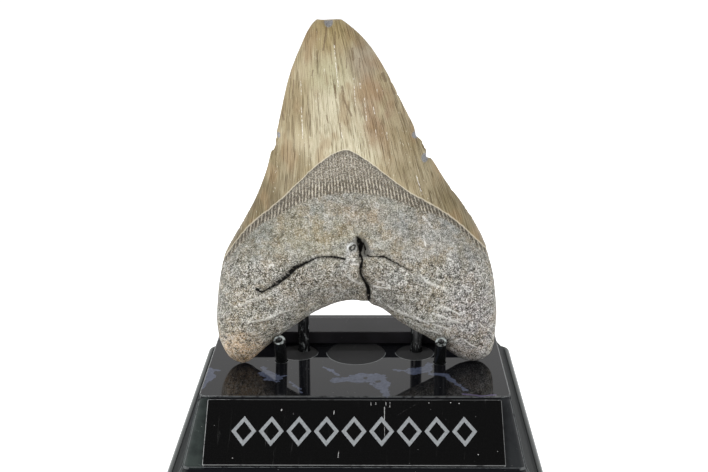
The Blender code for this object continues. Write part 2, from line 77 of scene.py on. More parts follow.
VEINS = [              # x, y to x, y and half width of each stroke of the figure on the deck
    (-37.5, -15.0, -36.0, -20.0, 1.0), (-36.0, -20.5, -31.5, -24.5, 2.7),
    (-33.0, -24.5, -27.6, -23.0, 0.9), (-35.5, -26.0, -30.5, -28.0, 0.8),
    (-26.0, -28.0, -22.5, -33.5, 0.35), (-22.5, -33.5, -20.9, -37.7, 0.35),
    (-59.0, -16.5, -55.5, -18.0, 0.9), (-58.4, -19.0, -58.2, -26.0, 1.9),
    (-58.6, -26.0, -59.2, -34.0, 0.7),
    (-13.1, -14.9, -9.5, -18.2, 0.45), (-9.5, -18.2, -7.0, -22.5, 0.7),
    (-7.8, -27.0, 0.5, -25.4, 1.9), (0.5, -25.4, 8.6, -24.8, 3.6), (-2.0, -22.8, 4.5, -20.8, 0.7),
    (8.6, -24.6, 11.0, -30.0, 2.6), (11.0, -30.0, 12.0, -40.4, 1.5), (6.5, -30.5, 10.0, -34.0, 1.0),
    (15.2, -17.1, 23.0, -20.0, 0.6), (18.0, -18.4, 25.0, -17.2, 0.8), (23.5, -18.6, 29.0, -17.0, 2.6),
    (28.6, -17.0, 30.2, -11.5, 1.3), (30.0, -20.5, 36.1, -22.6, 1.1),
    (36.1, -22.6, 38.8, -28.0, 1.0), (38.8, -28.0, 43.0, -35.6, 0.7),
]
VEIN_HOLES = [(4.1, -24.9, 4.2, -24.9, 0.9), (8.9, -28.1, 9.0, -28.1, 0.9)]
FRONT_VEIN = [(42.0, -39.0, 48.8, -40.6, 0.5), (48.8, -40.6, 54.0, -39.6, 0.45)]


class Wire:
    """An output of a node; arithmetic on it adds Math nodes."""

    def __init__(self, finish, socket):
        self.finish = finish
        self.socket = socket

    def math(self, operation, *others):
        return self.finish.add("Math", {"operation": operation}, dict(enumerate((self, *others))))

    def __add__(self, other):
        return self.math("ADD", other)

    def __sub__(self, other):
        return self.math("SUBTRACT", other)

    def __mul__(self, other):
        return self.math("MULTIPLY", other)

    def __pow__(self, other):
        return self.math("POWER", other)

    def __rsub__(self, other):
        return self.finish.add("Math", {"operation": "SUBTRACT"}, {0: other, 1: self})

    def __abs__(self):
        return self.math("ABSOLUTE")

    __radd__ = __add__
    __rmul__ = __mul__

    def ramp(self, low, high):
        """Eases from 0 at low to 1 at high, which may lie the other way round."""
        if low > high:
            return 1.0 - self.ramp(high, low)
        settings = {"interpolation_type": "SMOOTHSTEP"}
        return self.finish.add("MapRange", settings, {"Value": self, "From Min": low, "From Max": high})

    def at_least(self, other):
        return self.math("MAXIMUM", other)

    def at_most(self, other):
        return self.math("MINIMUM", other)

    def clamped(self):
        settings = {"operation": "ADD", "use_clamp": True}
        return self.finish.add("Math", settings, {0: self, 1: 0.0})

    def painted(self, share, colour, how="MIX"):
        """This colour with another laid over it, as strongly as the share says."""
        return self.finish.blend(share, self, colour, how)

    def stained(self, share, colour):
        return self.painted(share, colour, "MULTIPLY")

    def bleached(self, share, colour):
        return self.painted(share, colour, "SCREEN")


class Finish:
    """A material under construction: nodes are added by kind, with their settings and inputs."""

    def __init__(self, name, **shader_values):
        self.material = bpy.data.materials.new(name)
        self.material.use_nodes = True
        self.tree = self.material.node_tree
        self.shader = self.tree.nodes["Principled BSDF"]
        self.set(**shader_values)
        self.place = self.vector("MULTIPLY", self.add("TexCoord", output="Object"), (1 / MM,) * 3)

    def feed(self, node, inputs):
        for key, value in inputs.items():
            socket = node.inputs[key]
            if isinstance(value, Wire):
                self.tree.links.new(value.socket, socket)
            elif isinstance(value, tuple) and len(value) == 3 and socket.type == "RGBA":
                socket.default_value = (*value, 1.0)
            else:
                socket.default_value = value

    def add(self, kind, settings=None, inputs=None, output=0):
        node = self.tree.nodes.new("ShaderNode" + kind)
        for key, value in (settings or {}).items():
            setattr(node, key, value)
        self.feed(node, inputs or {})
        return Wire(self, node.outputs[output])

    def set(self, **inputs):
        self.feed(self.shader, {key.replace("_", " "): value for key, value in inputs.items()})

    def attribute(self, name, output="Fac"):
        return self.add("Attribute", {"attribute_name": name}, output=output)

    def vector(self, operation, first, second, output=0):
        return self.add("VectorMath", {"operation": operation}, {0: first, 1: second}, output)

    def parts(self, vector):
        """The x, y and z of a vector."""
        node = self.add("SeparateXYZ", inputs={0: vector}).socket.node
        return [Wire(self, output) for output in node.outputs]

    def join(self, x, y, z):
        return self.add("CombineXYZ", inputs={0: x, 1: y, 2: z})

    def noise(self, vector, scale, detail=2.0, roughness=0.5, distortion=0.0):
        """Noise from about 0 to 1."""
        inputs = {"Vector": vector, "Scale": scale, "Detail": detail, "Roughness": roughness,
                  "Distortion": distortion}
        return self.add("TexNoise", inputs=inputs)

    def grain(self, *values):
        """The same through the piece itself."""
        return self.noise(self.place, *values)

    def cells(self, vector, scale):
        """Distance to the nearest of scattered points."""
        return self.add("TexVoronoi", inputs={"Vector": vector, "Scale": scale}, output="Distance")

    def off_stroke(self, flat, from_x, from_y, to_x, to_y, half_width):
        """Distance in millimetres from the edge of a straight stroke with round ends."""
        along = (to_x - from_x, to_y - from_y, 0.0)
        length = max(math.hypot(*along), 0.01)
        offset = self.vector("SUBTRACT", flat, (from_x, from_y, 0.0))
        share = self.vector("DOT_PRODUCT", offset, tuple(c / length ** 2 for c in along), "Value").clamped()
        reached = self.add("VectorMath", {"operation": "SCALE"}, {0: along, "Scale": share})
        away = self.vector("SUBTRACT", offset, reached)
        return self.add("VectorMath", {"operation": "LENGTH"}, {0: away}, "Value") - half_width

    def off_strokes(self, flat, strokes):
        nearest = None
        for stroke in strokes:
            away = self.off_stroke(flat, *stroke)
            nearest = away if nearest is None else nearest.at_most(away)
        return nearest

    def blend(self, share, first, second, how="MIX"):
        """The first colour where the share is 0, the second where it is 1."""
        settings = {"data_type": "RGBA", "blend_type": how}
        return self.add("Mix", settings, {0: share, 6: first, 7: second}, 2)

    def bump(self, height, distance, normal=None):
        """The surface's normal over a height from 0 to 1 that stands for that many millimetres."""
        inputs = {"Height": height, "Distance": distance * MM, "Strength": 1.0}
        if normal is not None:
            inputs["Normal"] = normal
        return self.add("Bump", inputs=inputs)


def pick(obj, wanted, kind="faces"):
    """In edit mode, selects the faces or edges for which wanted is true, and nothing else."""
    bpy.ops.mesh.select_all(action="DESELECT")
    bpy.ops.mesh.select_mode(type={"faces": "FACE", "edges": "EDGE"}[kind])
    bm = bmesh.from_edit_mesh(obj.data)
    for item in getattr(bm, kind):
        if wanted(item):
            item.select_set(True)
    bmesh.update_edit_mesh(obj.data)


def start(name, make, **values):
    """Adds a primitive with nothing else selected, gives it a name and opens it for editing."""
    bpy.ops.object.select_all(action="DESELECT")
    make(**values)
    obj = bpy.context.active_object
    obj.name = name
    obj.data.name = name
    bpy.ops.object.transform_apply(location=True, rotation=True, scale=True)
    bpy.ops.object.mode_set(mode="EDIT")
    return obj


def take(obj):
    """Makes an object the active one and the only one selected."""
    bpy.ops.object.select_all(action="DESELECT")
    obj.select_set(True)
    bpy.context.view_layer.objects.active = obj


def apply_modifier(obj, kind, **values):
    take(obj)
    modifier = obj.modifiers.new(kind.lower(), kind)
    for key, value in values.items():
        setattr(modifier, key, value)
    bpy.ops.object.modifier_apply(modifier=modifier.name)


def round_edges(obj, wanted, width, segments):
    """In edit mode, bevels the edges for which wanted is true."""
    pick(obj, wanted, "edges")
    bpy.ops.mesh.bevel(offset=width * MM, segments=segments, affect="EDGES")


def square(edge):
    return edge.calc_face_angle(0) > math.radians(60)


def shade_flats(obj):
    """Rounds the shading over narrow bevels and keeps the large faces flat."""
    bpy.ops.object.shade_smooth_by_angle(angle=math.radians(35))
    apply_modifier(obj, "WEIGHTED_NORMAL", keep_sharp=True)


def cut_round(obj, name, radius, depth, place, lean):
    """Cuts a round pocket of that depth into the piece, square to its leaning axis."""
    cutter = start(name, bpy.ops.mesh.primitive_cylinder_add, vertices=72, radius=radius * MM,
                   depth=2 * depth * MM, rotation=(math.radians(-lean), 0, 0),
                   location=[value * MM for value in place])
    bpy.ops.object.mode_set(mode="OBJECT")
    apply_modifier(obj, "BOOLEAN", operation="DIFFERENCE", solver="EXACT", object=cutter)
    bpy.data.objects.remove(cutter)


def finish_piece(obj, body, node, material):
    """Gives a piece its material, sets it under its body and hides the solid it stands for."""
    obj.data.materials.clear()
    obj.data.materials.append(material)
    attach(obj, body)
    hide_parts(node)


def mark_edges(obj, name):
    """Marks the narrow faces that bevels left between large flat ones, and the hips, to be painted pale:
    partly real wear, partly painted highlight.
    """
    faces = obj.data.polygons
    corners = obj.data.vertices
    plain = [face.normal.copy() for face in faces if face.area > PLAIN_AREA * MM * MM]
    worn = []
    for face in faces:
        width = min((corners[a].co - corners[b].co).length for a, b in face.edge_keys)
        turned = max(face.normal.dot(other) for other in plain) < SAME_PLANE
        hip = HIP_OUT[0] < abs(face.normal.x) < HIP_OUT[1] and HIP_UP[0] < face.normal.z < HIP_UP[1]
        worn.append(float(turned and width < PALE_EDGE_WIDTH * MM or hip))
    obj.data.attributes.new(name, "FLOAT", "FACE").data.foreach_set("value", worn)


def mark_gloss(obj):
    """The deck and the front slope are polished, the walls and the flange are duller."""
    gloss = []
    for face in obj.data.polygons:
        if face.normal.z > 0.7 and face.center.z > (BASE_HEIGHT - SLOPE_DROP) * MM:
            gloss.append(DECK_GLOSS)
        else:
            gloss.append(FLANGE_GLOSS if face.center.z < (FLANGE_HEIGHT + 0.2) * MM else WALL_GLOSS)
    obj.data.attributes.new("gloss", "FLOAT", "FACE").data.foreach_set("value", gloss)


def make_body():
    low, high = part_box("base")
    foot = [side / MM for side in high - low]
    body = start("stand_body", bpy.ops.mesh.primitive_cube_add, size=1.0,
                 location=(0, 0, FLANGE_HEIGHT / 2 * MM),
                 scale=(foot[0] * MM, foot[1] * MM, FLANGE_HEIGHT * MM))
    waist_z = BASE_HEIGHT - SLOPE_DROP
    waist_depth = DECK_DEPTH + 2 * SLOPE_RUN
    wall_width, wall_depth = foot[0] - 2 * FLANGE_STEP, foot[1] - 2 * FLANGE_STEP
    rings = [
        (FLANGE_HEIGHT, wall_width + 0.9, wall_depth + 0.9),
        (FLANGE_HEIGHT - 0.6, wall_width + 0.5, wall_depth + 0.5),
        (FLANGE_HEIGHT + 0.3, wall_width, wall_depth),
        ((FLANGE_HEIGHT + waist_z) / 2, (wall_width + WAIST_WIDTH) / 2 - 1, (wall_depth + waist_depth) / 2),
        (waist_z, WAIST_WIDTH, waist_depth),
        (BASE_HEIGHT, DECK_WIDTH, DECK_DEPTH),
    ]
    pick(body, lambda face: face.normal.z > 0.9)
    height, width, depth = FLANGE_HEIGHT, foot[0], foot[1]
    for next_height, next_width, next_depth in rings:
        move = {"value": (0, 0, (next_height - height) * MM)}
        bpy.ops.mesh.extrude_region_move(TRANSFORM_OT_translate=move)
        bpy.ops.transform.resize(value=(next_width / width, next_depth / depth, 1),
                                 center_override=(0, 0, next_height * MM))
        height, width, depth = next_height, next_width, next_depth
    bpy.ops.object.mode_set(mode="OBJECT")

    corner_weight = body.data.attributes.new("bevel_weight_edge", "FLOAT", "EDGE")
    for edge in body.data.edges:
        a, b = (body.data.vertices[i].co for i in edge.vertices)
        if a.x * b.x > 0 and a.y * b.y > 0:
            weight = np.interp((a.z + b.z) / 2 / MM, CORNER_HEIGHTS, CORNER_WEIGHTS)
            corner_weight.data[edge.index].value = float(weight)
    apply_modifier(body, "BEVEL", width=FOOT_CORNER * MM, segments=8, limit_method="WEIGHT",
                   use_clamp_overlap=False)
    bpy.ops.object.mode_set(mode="EDIT")
    for z, width in ((0.0, 0.6), (FLANGE_HEIGHT, 1.5), (waist_z, 0.5), (BASE_HEIGHT, 0.42)):
        def on_ring(edge):
            level = all(abs(corner.co.z - z * MM) < 0.05 * MM for corner in edge.verts)
            outside = z != FLANGE_HEIGHT or any(
                abs(face.normal.z) < 0.3 and face.calc_center_median().z < 0.6 * FLANGE_HEIGHT * MM
                for face in edge.link_faces)
            return level and outside and edge.calc_face_angle(0) > math.radians(8)
        round_edges(body, on_ring, width, 4)
    bpy.ops.object.mode_set(mode="OBJECT")
    mark_edges(body, "pale_and_lit_edge")
    mark_gloss(body)
    for x, radius in SEAT_PLACES.items():
        cut_round(body, "seat", radius, SEAT_DEPTH, (x, 0, BASE_HEIGHT), 0)
    for x, y, _, lean in PEGS.values():
        cut_round(body, "peg_hole", PEG_RADIUS + SOCKET_GAP, PEG_SOCKET + 0.2, (x, y, BASE_HEIGHT), lean)
    shade_flats(body)
    return body


def scratches(finish, plane, seed, turn, length=0.06, rarity=0.74):
    """Fine straight scratches in one direction over a plane of the piece, 1 on a scratch."""
    turned = finish.add("Mapping", {"vector_type": "POINT"},
                        {"Vector": plane, "Location": (seed, 2.7 * seed, 0), "Rotation": (0, 0, turn)})
    u, v, _ = finish.parts(turned)
    line = abs(finish.noise(finish.join(u * 1.3, v * length, seed), 1.0, 1.0) - 0.5).ramp(0.012, 0.002)
    present = finish.noise(finish.join(u * 0.5, v * 0.06, seed + 5), 1.0, 1.0).ramp(rarity - 0.08, rarity)
    return line * present


def dust_on(finish, place, spacing, size, clumps, few):
    """Specks of dust, gathered in loose clumps, 1 on a speck."""
    return finish.cells(place, spacing).ramp(*size) * finish.noise(place, clumps, 2.0).ramp(*few)


def moulding_finish():
    """Polished black with blue-grey marble strokes, satin round seats and dust; painted reflections on the
    sides and beside the plate; edges painted pale, partly wear and partly painted highlight; painted
    highlights on the front rims of seats and peg holes.
    """
    finish = Finish("marbled_black_plastic", Specular_IOR_Level=0.0, Coat_IOR=1.42, Coat_Roughness=0.045,
                    Roughness=0.5)
    x, y, z = finish.parts(finish.place)
    flat = finish.join(x, y, 0.0)
    wander = finish.grain(0.30, 4.0, 0.6) - 0.5
    ragged = finish.grain(1.1, 3.0, 0.6) - 0.5
    on_deck = z.ramp(31.2, 31.6)
    unsteady = wander * 4.5 + ragged * 1.6
    patch = (finish.off_strokes(flat, VEINS) + unsteady).ramp(0.30, -0.25)
    holes = (finish.off_strokes(flat, VEIN_HOLES) + unsteady * 0.5).ramp(-0.2, 0.3)
    patch = patch * holes * on_deck
    purple = (finish.off_strokes(flat, FRONT_VEIN) + unsteady * 0.25).ramp(0.3, -0.2) * z.ramp(31.0, 31.4)
    figure = finish.grain(0.050, 3.0, 0.55, 0.5)
    elsewhere = abs(figure - 0.5).ramp(0.022, 0.008) * finish.grain(0.035, 2.0).ramp(0.53, 0.62)
    front = y.ramp(-41.0, -42.0)
    elsewhere = elsewhere * (1.0 - on_deck) * (1.0 - front)
    mottle = finish.grain(0.8, 3.0, 0.6).ramp(0.3, 0.7)
    blue = finish.blend(mottle, (0.052, 0.062, 0.098), VEIN_BLUE)
    colour = finish.blend(patch.at_least(elsewhere * 0.3), MOULDING_BLACK, blue)
    colour = colour.painted(purple * 0.8, VEIN_PURPLE)

    # The rims below are pale lines only at the front of each seat and peg hole: a painted highlight.
    seat, rim = None, None
    for seat_x, radius in SEAT_PLACES.items():
        away = ((x - seat_x) ** 2 + y ** 2).math("SQRT")
        inside = away.ramp(radius + 0.05, radius - 0.1)
        edge = abs(away - radius - 0.1).ramp(0.28, 0.10) * y.ramp(1.0, -2.0)
        seat = inside if seat is None else seat.at_least(inside)
        rim = edge if rim is None else rim.at_least(edge)
    seat = seat * z.ramp(31.0, 31.4) * z.ramp(31.9, 31.7)
    for peg_x, peg_y, _, _ in PEGS.values():
        away = ((x - peg_x) ** 2 + (y - peg_y) ** 2).math("SQRT")
        edge = abs(away - PEG_RADIUS - 0.45).ramp(0.30, 0.10) * y.ramp(peg_y - 0.4, peg_y - 2.2)
        rim = rim.at_least(edge * 1.8)
    colour = colour.painted(seat, (0.046, 0.046, 0.047))

    smears = finish.grain(0.07, 4.0, 0.65)
    slope = finish.join(x, y + z, 0.0)
    scuffed = scratches(finish, slope, 3.0, 0.5).at_least(scratches(finish, slope, 11.0, -0.9))
    margin = front * z.ramp(13.0, 14.5) * abs(x).ramp(55.0, 57.0)
    # Beside the plate the slope is painted a lighter grey-green, more on the left: a painted reflection,
    # broken up by smears.
    smeared_sheen = margin * (smears.ramp(0.30, 0.62) * 0.6 + 0.4)
    sheen_tint = finish.blend(x.ramp(-20.0, 20.0), (0.050, 0.062, 0.058), (0.029, 0.031, 0.033))
    colour = colour.painted(smeared_sheen * 0.9, sheen_tint)
    # The lower side walls and the side flange are painted grey, lighter outwards: a painted reflection of
    # the white surroundings seen at a grazing angle.
    wall_reflection = z.ramp(13.4, 12.6) * abs(x).ramp(61.0, 64.0)
    colour = colour.painted(wall_reflection * 0.8, (0.050, 0.053, 0.053))
    foot = z.ramp(4.3, 3.9) * abs(x).ramp(69.5, 72.5)
    colour = colour.painted(foot * 0.9, (0.27, 0.285, 0.28))
    colour = colour.painted(scuffed * margin * 0.8, (0.20, 0.23, 0.22))
    dust = dust_on(finish, finish.place, 0.42, (0.085, 0.04), 0.11, (0.5, 0.62))
    colour = colour.painted(dust * 0.45, (0.40, 0.40, 0.40))
    colour = colour.painted(scuffed * 0.10, (0.22, 0.24, 0.24))
    # Narrow bevels and hips are painted paler: partly rubbed wear, partly a painted highlight along the
    # edges.
    worn = finish.attribute("pale_and_lit_edge") * finish.grain(0.5, 3.0, 0.6).ramp(0.25, 0.55)
    colour = colour.painted(worn * 0.8, (0.150, 0.158, 0.160))
    # The seat and peg-hole rims are painted pale here: a painted highlight.
    colour = colour.painted((rim * z.ramp(31.6, 31.9)).clamped() * 0.6, (0.30, 0.32, 0.32))
    coat = finish.attribute("gloss") * (1.0 - seat * 0.85) * (1.0 - scuffed * 0.4)
    fine = finish.grain(1.6, 3.0, 0.6)
    finish.set(Base_Color=colour, Coat_Weight=coat, Normal=finish.bump(fine, 0.006))
    return finish.material


finish_piece(make_body(), "root", "base", moulding_finish())

# The bar is a flat strip of the same black plastic, glued across the back half of the deck behind
# the pegs. Its lower edges are chamfered, which leaves a thin shadow between it and the deck.
BAR_UNDERCUT, BAR_ROUNDING = 0.9, 0.35


def make_bar():
    low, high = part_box("rear_bar")
    bar = start("back_bar", bpy.ops.mesh.primitive_cube_add, size=1.0, location=(low + high) / 2,
                scale=high - low)
    round_edges(bar, lambda edge: max(corner.co.z for corner in edge.verts) < low.z + 0.1 * MM,
                BAR_UNDERCUT, 3)
    round_edges(bar, square, BAR_ROUNDING, 4)
    bpy.ops.object.mode_set(mode="OBJECT")
    shade_flats(bar)
    return bar


def bar_finish():
    """Black with a faint purple cast, a little dust and fine rubbing marks on top."""
    finish = Finish("purplish_black_plastic", IOR=1.5, Specular_IOR_Level=0.16)
    x, y, _ = finish.parts(finish.place)
    cast = finish.grain(0.05, 3.0, 0.6).ramp(0.35, 0.7)
    colour = finish.blend(cast, (0.0120, 0.0115, 0.0125), (0.0230, 0.0215, 0.0250))
    rubbed = scratches(finish, finish.join(x, y, 0), 7.0, 0.2)
    dust = dust_on(finish, finish.place, 0.5, (0.09, 0.04), 0.12, (0.55, 0.68))
    colour = colour.painted(dust * 0.5, (0.4, 0.4, 0.4)).painted(rubbed * 0.12, (0.2, 0.2, 0.2))
    rough = 0.06 + rubbed * 0.2 + finish.grain(0.06, 3.0) * 0.06
    finish.set(Base_Color=colour, Roughness=rough, Normal=finish.bump(finish.grain(1.4, 3.0), 0.004))
    return finish.material


finish_piece(make_bar(), "root", "rear_bar", bar_finish())

# The nameplate is a thin sheet of gloss black acrylic with sawn, pale edges, stuck on the slanted
# front. It carries a plain ornament across most of its width: a row of open lozenges, cut from
# silver foil.
PLATE_WIDTH, PLATE_HEIGHT, PLATE_THICKNESS = 112.2, 26.4, 1.5
PLATE_CORNER, PLATE_ROUNDING = 0.5, 0.28
PLATE_FALL = 0.8       # how far its middle lies below the slope's
PLATE_TILT = math.atan2(SLOPE_DROP, SLOPE_RUN)
PLATE_GAP = 0.3
FOIL_THICKNESS, FOIL_LIFT, FOIL_EDGE = 0.12, 0.02, 0.03
LOZENGES = 9
LOZENGE_WIDTH, LOZENGE_HEIGHT, LOZENGE_STROKE = 9.4, 12.0, 1.35
LOZENGE_PITCH = 10.36
ORNAMENT_RISE = 0.25
PLATE_MARKS = [        # across, up to across, up and half width of each nick and scratch
    (11.5, 11.0, 11.4, 4.0, 0.08), (11.4, 4.0, 11.5, -1.7, 0.03), (6.3, 12.8, 6.4, 11.6, 0.06),
    (8.2, 12.9, 8.2, 12.0, 0.05), (12.0, 12.9, 12.1, 11.6, 0.06), (13.6, 12.9, 13.5, 10.9, 0.05),
    (-27.5, 9.9, -27.7, 9.5, 0.16), (-23.0, 8.3, -23.0, 8.1, 0.18), (-15.8, 11.9, -15.8, 11.7, 0.12),
    (-7.6, 9.4, -7.7, 8.0, 0.10), (14.6, 6.6, 24.5, 12.8, -0.07), (-5.6, -6.5, -5.8, -9.2, 0.06),
    (28.3, 12.7, 28.4, 12.7, 0.14), (36.6, 12.8, 36.7, 12.8, 0.12), (39.8, 12.5, 39.9, 12.5, 0.12),
    (46.0, -7.9, 46.1, -7.9, 0.12), (-45.0, -9.5, -44.9, -9.5, 0.10),
]


def plate_place():
    """The plate's middle, with x to the right, y up its face and z out of it."""
    offset = PLATE_GAP + PLATE_THICKNESS / 2
    sine, cosine = math.sin(PLATE_TILT), math.cos(PLATE_TILT)
    middle = Vector((0, -(DECK_DEPTH / 2 + SLOPE_RUN / 2 + offset * sine + PLATE_FALL * cosine),
                     BASE_HEIGHT - SLOPE_DROP / 2 + offset * cosine - PLATE_FALL * sine))
    return Matrix.Translation(middle * MM) @ Matrix.Rotation(PLATE_TILT, 4, "X")


def make_plate():
    plate = start("nameplate_sheet", bpy.ops.mesh.primitive_cube_add, size=1.0,
                  scale=(PLATE_WIDTH * MM, PLATE_HEIGHT * MM, PLATE_THICKNESS * MM))
    round_edges(plate, lambda edge: abs((edge.verts[0].co - edge.verts[1].co).z) > MM, PLATE_CORNER, 4)
    round_edges(plate, square, PLATE_ROUNDING, 3)
    bpy.ops.object.mode_set(mode="OBJECT")
    plate.data.transform(plate_place())
    mark_edges(plate, "pale_and_lit_edge")
    shade_flats(plate)
    return plate


def make_lozenge():
    """An open lozenge: a flat four-sided prism whose two faces are inset and bridged."""
    lozenge = start("lozenge", bpy.ops.mesh.primitive_cylinder_add, vertices=4,
                    radius=LOZENGE_HEIGHT / 2 * MM, depth=FOIL_THICKNESS * MM,
                    location=(0, ORNAMENT_RISE * MM, (PLATE_THICKNESS / 2 + FOIL_LIFT) * MM))
    bpy.ops.mesh.select_all(action="SELECT")
    bpy.ops.transform.resize(value=(LOZENGE_WIDTH / LOZENGE_HEIGHT, 1, 1))
    pick(lozenge, lambda face: abs(face.normal.z) > 0.9)
    bpy.ops.mesh.inset(thickness=LOZENGE_STROKE * MM, use_individual=True)
    bpy.ops.mesh.bridge_edge_loops()
    bpy.ops.object.mode_set(mode="OBJECT")
    apply_modifier(lozenge, "BEVEL", width=FOIL_EDGE * MM, segments=1)
    return lozenge


def make_ornament():
    first = make_lozenge()
    row = [first]
    for _ in range(LOZENGES - 1):
        copy = first.copy()
        copy.data = first.data.copy()
        bpy.context.scene.collection.objects.link(copy)
        row.append(copy)
    for i, lozenge in enumerate(row):
        shift = (i - (LOZENGES - 1) / 2) * LOZENGE_PITCH * MM
        lozenge.data.transform(Matrix.Translation((shift, 0, 0)))
    bpy.ops.object.select_all(action="DESELECT")
    for lozenge in row:
        lozenge.select_set(True)
    bpy.context.view_layer.objects.active = first
    bpy.ops.object.join()
    first.name = "nameplate_ornament"
    first.data.name = "nameplate_ornament"
    first.data.transform(plate_place())
    return first


def plate_finish():
    """Deep gloss black with specks, nicks below the top edge, a long scratch and pale sawn edges, the left
    and lower ones painted lighter still as a painted highlight.
    """
    finish = Finish("gloss_black_acrylic", IOR=1.49)
    x, _, z = finish.parts(finish.place)
    up = (z - plate_place().translation.z / MM) * (1 / math.sin(PLATE_TILT))
    face = finish.join(x, up, 0.0)
    shake = finish.noise(face, 1.4, 2.0) - 0.5
    marks = (finish.off_strokes(face, PLATE_MARKS) + shake * 0.25).ramp(0.10, -0.06)
    marks = marks * finish.noise(face, 0.8, 2.0).ramp(0.30, 0.50)
    specks = dust_on(finish, face, 0.34, (0.075, 0.035), 0.12, (0.54, 0.64))
    hairlines = scratches(finish, face, 2.0, 0.05, 0.04, 0.70)
    marks = marks.at_least(specks * 0.5).at_least(hairlines * 0.05)
    colour = finish.blend(marks, (0.0022, 0.0022, 0.0023), (0.55, 0.55, 0.54))
    # The left and lower edges are painted lighter than the rest: a painted highlight over the pale sawn
    # edge.
    lit = x.ramp(-55.0, -56.0).at_least(up.ramp(-12.6, -13.0)) * 0.55 + 0.35
    edge = finish.attribute("pale_and_lit_edge") * lit * finish.grain(0.35, 3.0, 0.6).ramp(0.22, 0.5)
    colour = colour.painted(edge, (0.36, 0.37, 0.37))
    finish.set(Base_Color=colour, Roughness=0.05 + marks * 0.4 + finish.noise(face, 0.06, 3.0) * 0.03,
               Normal=finish.bump(finish.noise(face, 1.2, 2.0), 0.002))
    return finish.material


def foil_finish():
    """Matt silver foil, slightly rubbed."""
    finish = Finish("silver_foil")
    worn = finish.noise(finish.place, 1.1, 4.0, 0.65)
    colour = finish.blend(worn.ramp(0.3, 0.75), (0.31, 0.33, 0.345), (0.43, 0.45, 0.465))
    finish.set(Base_Color=colour, Metallic=0.35, Roughness=0.42 + worn * 0.2,
               Normal=finish.bump(finish.noise(finish.place, 2.5, 3.0), 0.01))
    return finish.material


finish_piece(make_plate(), "root", "nameplate", plate_finish())
ornament = make_ornament()
ornament.data.materials.clear()
ornament.data.materials.append(foil_finish())
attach(ornament, "root")

# Four pegs of gloss black plastic rod stand in holes drilled in the deck. The front two lean
# towards the viewer and the back two hold the root from behind. Each has a rounded, dished end.
PEG_RIM = 0.55
PEG_DISH = (           # inset and drop of each ring of the dished end
    (0.25, 0.0), (0.35, 0.12), (0.45, 0.3), (0.4, 0.22), (0.25, 0.06),
)


def make_peg(name, x, y, length, lean):
    whole = length + PEG_SOCKET
    peg = start(name + "_rod", bpy.ops.mesh.primitive_cylinder_add, vertices=56, radius=PEG_RADIUS * MM,
                depth=whole * MM, location=(0, 0, whole / 2 * MM))
    round_edges(peg, lambda edge: all(corner.co.z > (whole - 0.1) * MM for corner in edge.verts), PEG_RIM, 6)
    for inset, drop in PEG_DISH:
        pick(peg, lambda face: face.normal.z > 0.9 and len(face.verts) > 8)
        bpy.ops.mesh.inset(thickness=inset * MM)
        bpy.ops.transform.translate(value=(0, 0, -drop * MM))
    bpy.ops.object.mode_set(mode="OBJECT")
    mesh = peg.data
    spots = {"from_axis": [math.hypot(corner.co.x, corner.co.y) / MM for corner in mesh.vertices],
             "below_end": [whole - corner.co.z / MM for corner in mesh.vertices]}
    for attribute_name, values in spots.items():
        mesh.attributes.new(attribute_name, "FLOAT", "POINT").data.foreach_set("value", values)
    back = math.radians(lean)
    foot = Vector((x, y, BASE_HEIGHT)) - PEG_SOCKET * Vector((0, math.sin(back), math.cos(back)))
    peg.data.transform(Matrix.Translation(foot * MM) @ Matrix.Rotation(-back, 4, "X"))
    bpy.ops.object.shade_smooth_by_angle(angle=math.radians(40))
    return peg


def peg_finish():
    """Gloss black rod with handling marks, pale smears on the rear pegs that are partly painted highlight,
    and a pale ring round its dished end.
    """
    finish = Finish("black_peg_plastic", IOR=1.5)
    x, y, z = finish.parts(finish.place)
    smears = finish.grain(0.35, 4.0, 0.6)
    dust = dust_on(finish, finish.place, 0.8, (0.10, 0.05), 0.3, (0.55, 0.65))
    colour = finish.blend(dust * 0.5, (0.0055, 0.0060, 0.0062), (0.35, 0.35, 0.35))
    radius = finish.attribute("from_axis")
    rim = radius.ramp(1.15, 1.55) * radius.ramp(2.42, 2.15) * finish.attribute("below_end").ramp(1.0, 0.5)
    rim = rim * finish.grain(0.45, 2.0, 0.6).ramp(0.36, 0.56)
    colour = colour.painted(rim * 0.85, (0.50, 0.55, 0.54))
    # On the rear pegs, pale smears: partly glue and handling marks, partly a painted highlight.
    smudge_and_highlight = finish.noise(finish.join(x * 1.1, y * 0.6, z * 0.22), 1.0, 4.0, 0.7).ramp(0.56, 0.66)
    colour = colour.painted(smudge_and_highlight * y.ramp(-1.5, 0.0) * 0.55, (0.34, 0.36, 0.36))
    finish.set(Base_Color=colour, Roughness=0.10 + smears * 0.14,
               Normal=finish.bump(finish.noise(finish.join(x, y, z * 0.2), 1.2, 3.0), 0.02))
    return finish.material


peg_black = peg_finish()
for name, (x, y, length, lean) in PEGS.items():
    finish_piece(make_peg(name, x, y, length, lean), "root", name, peg_black)

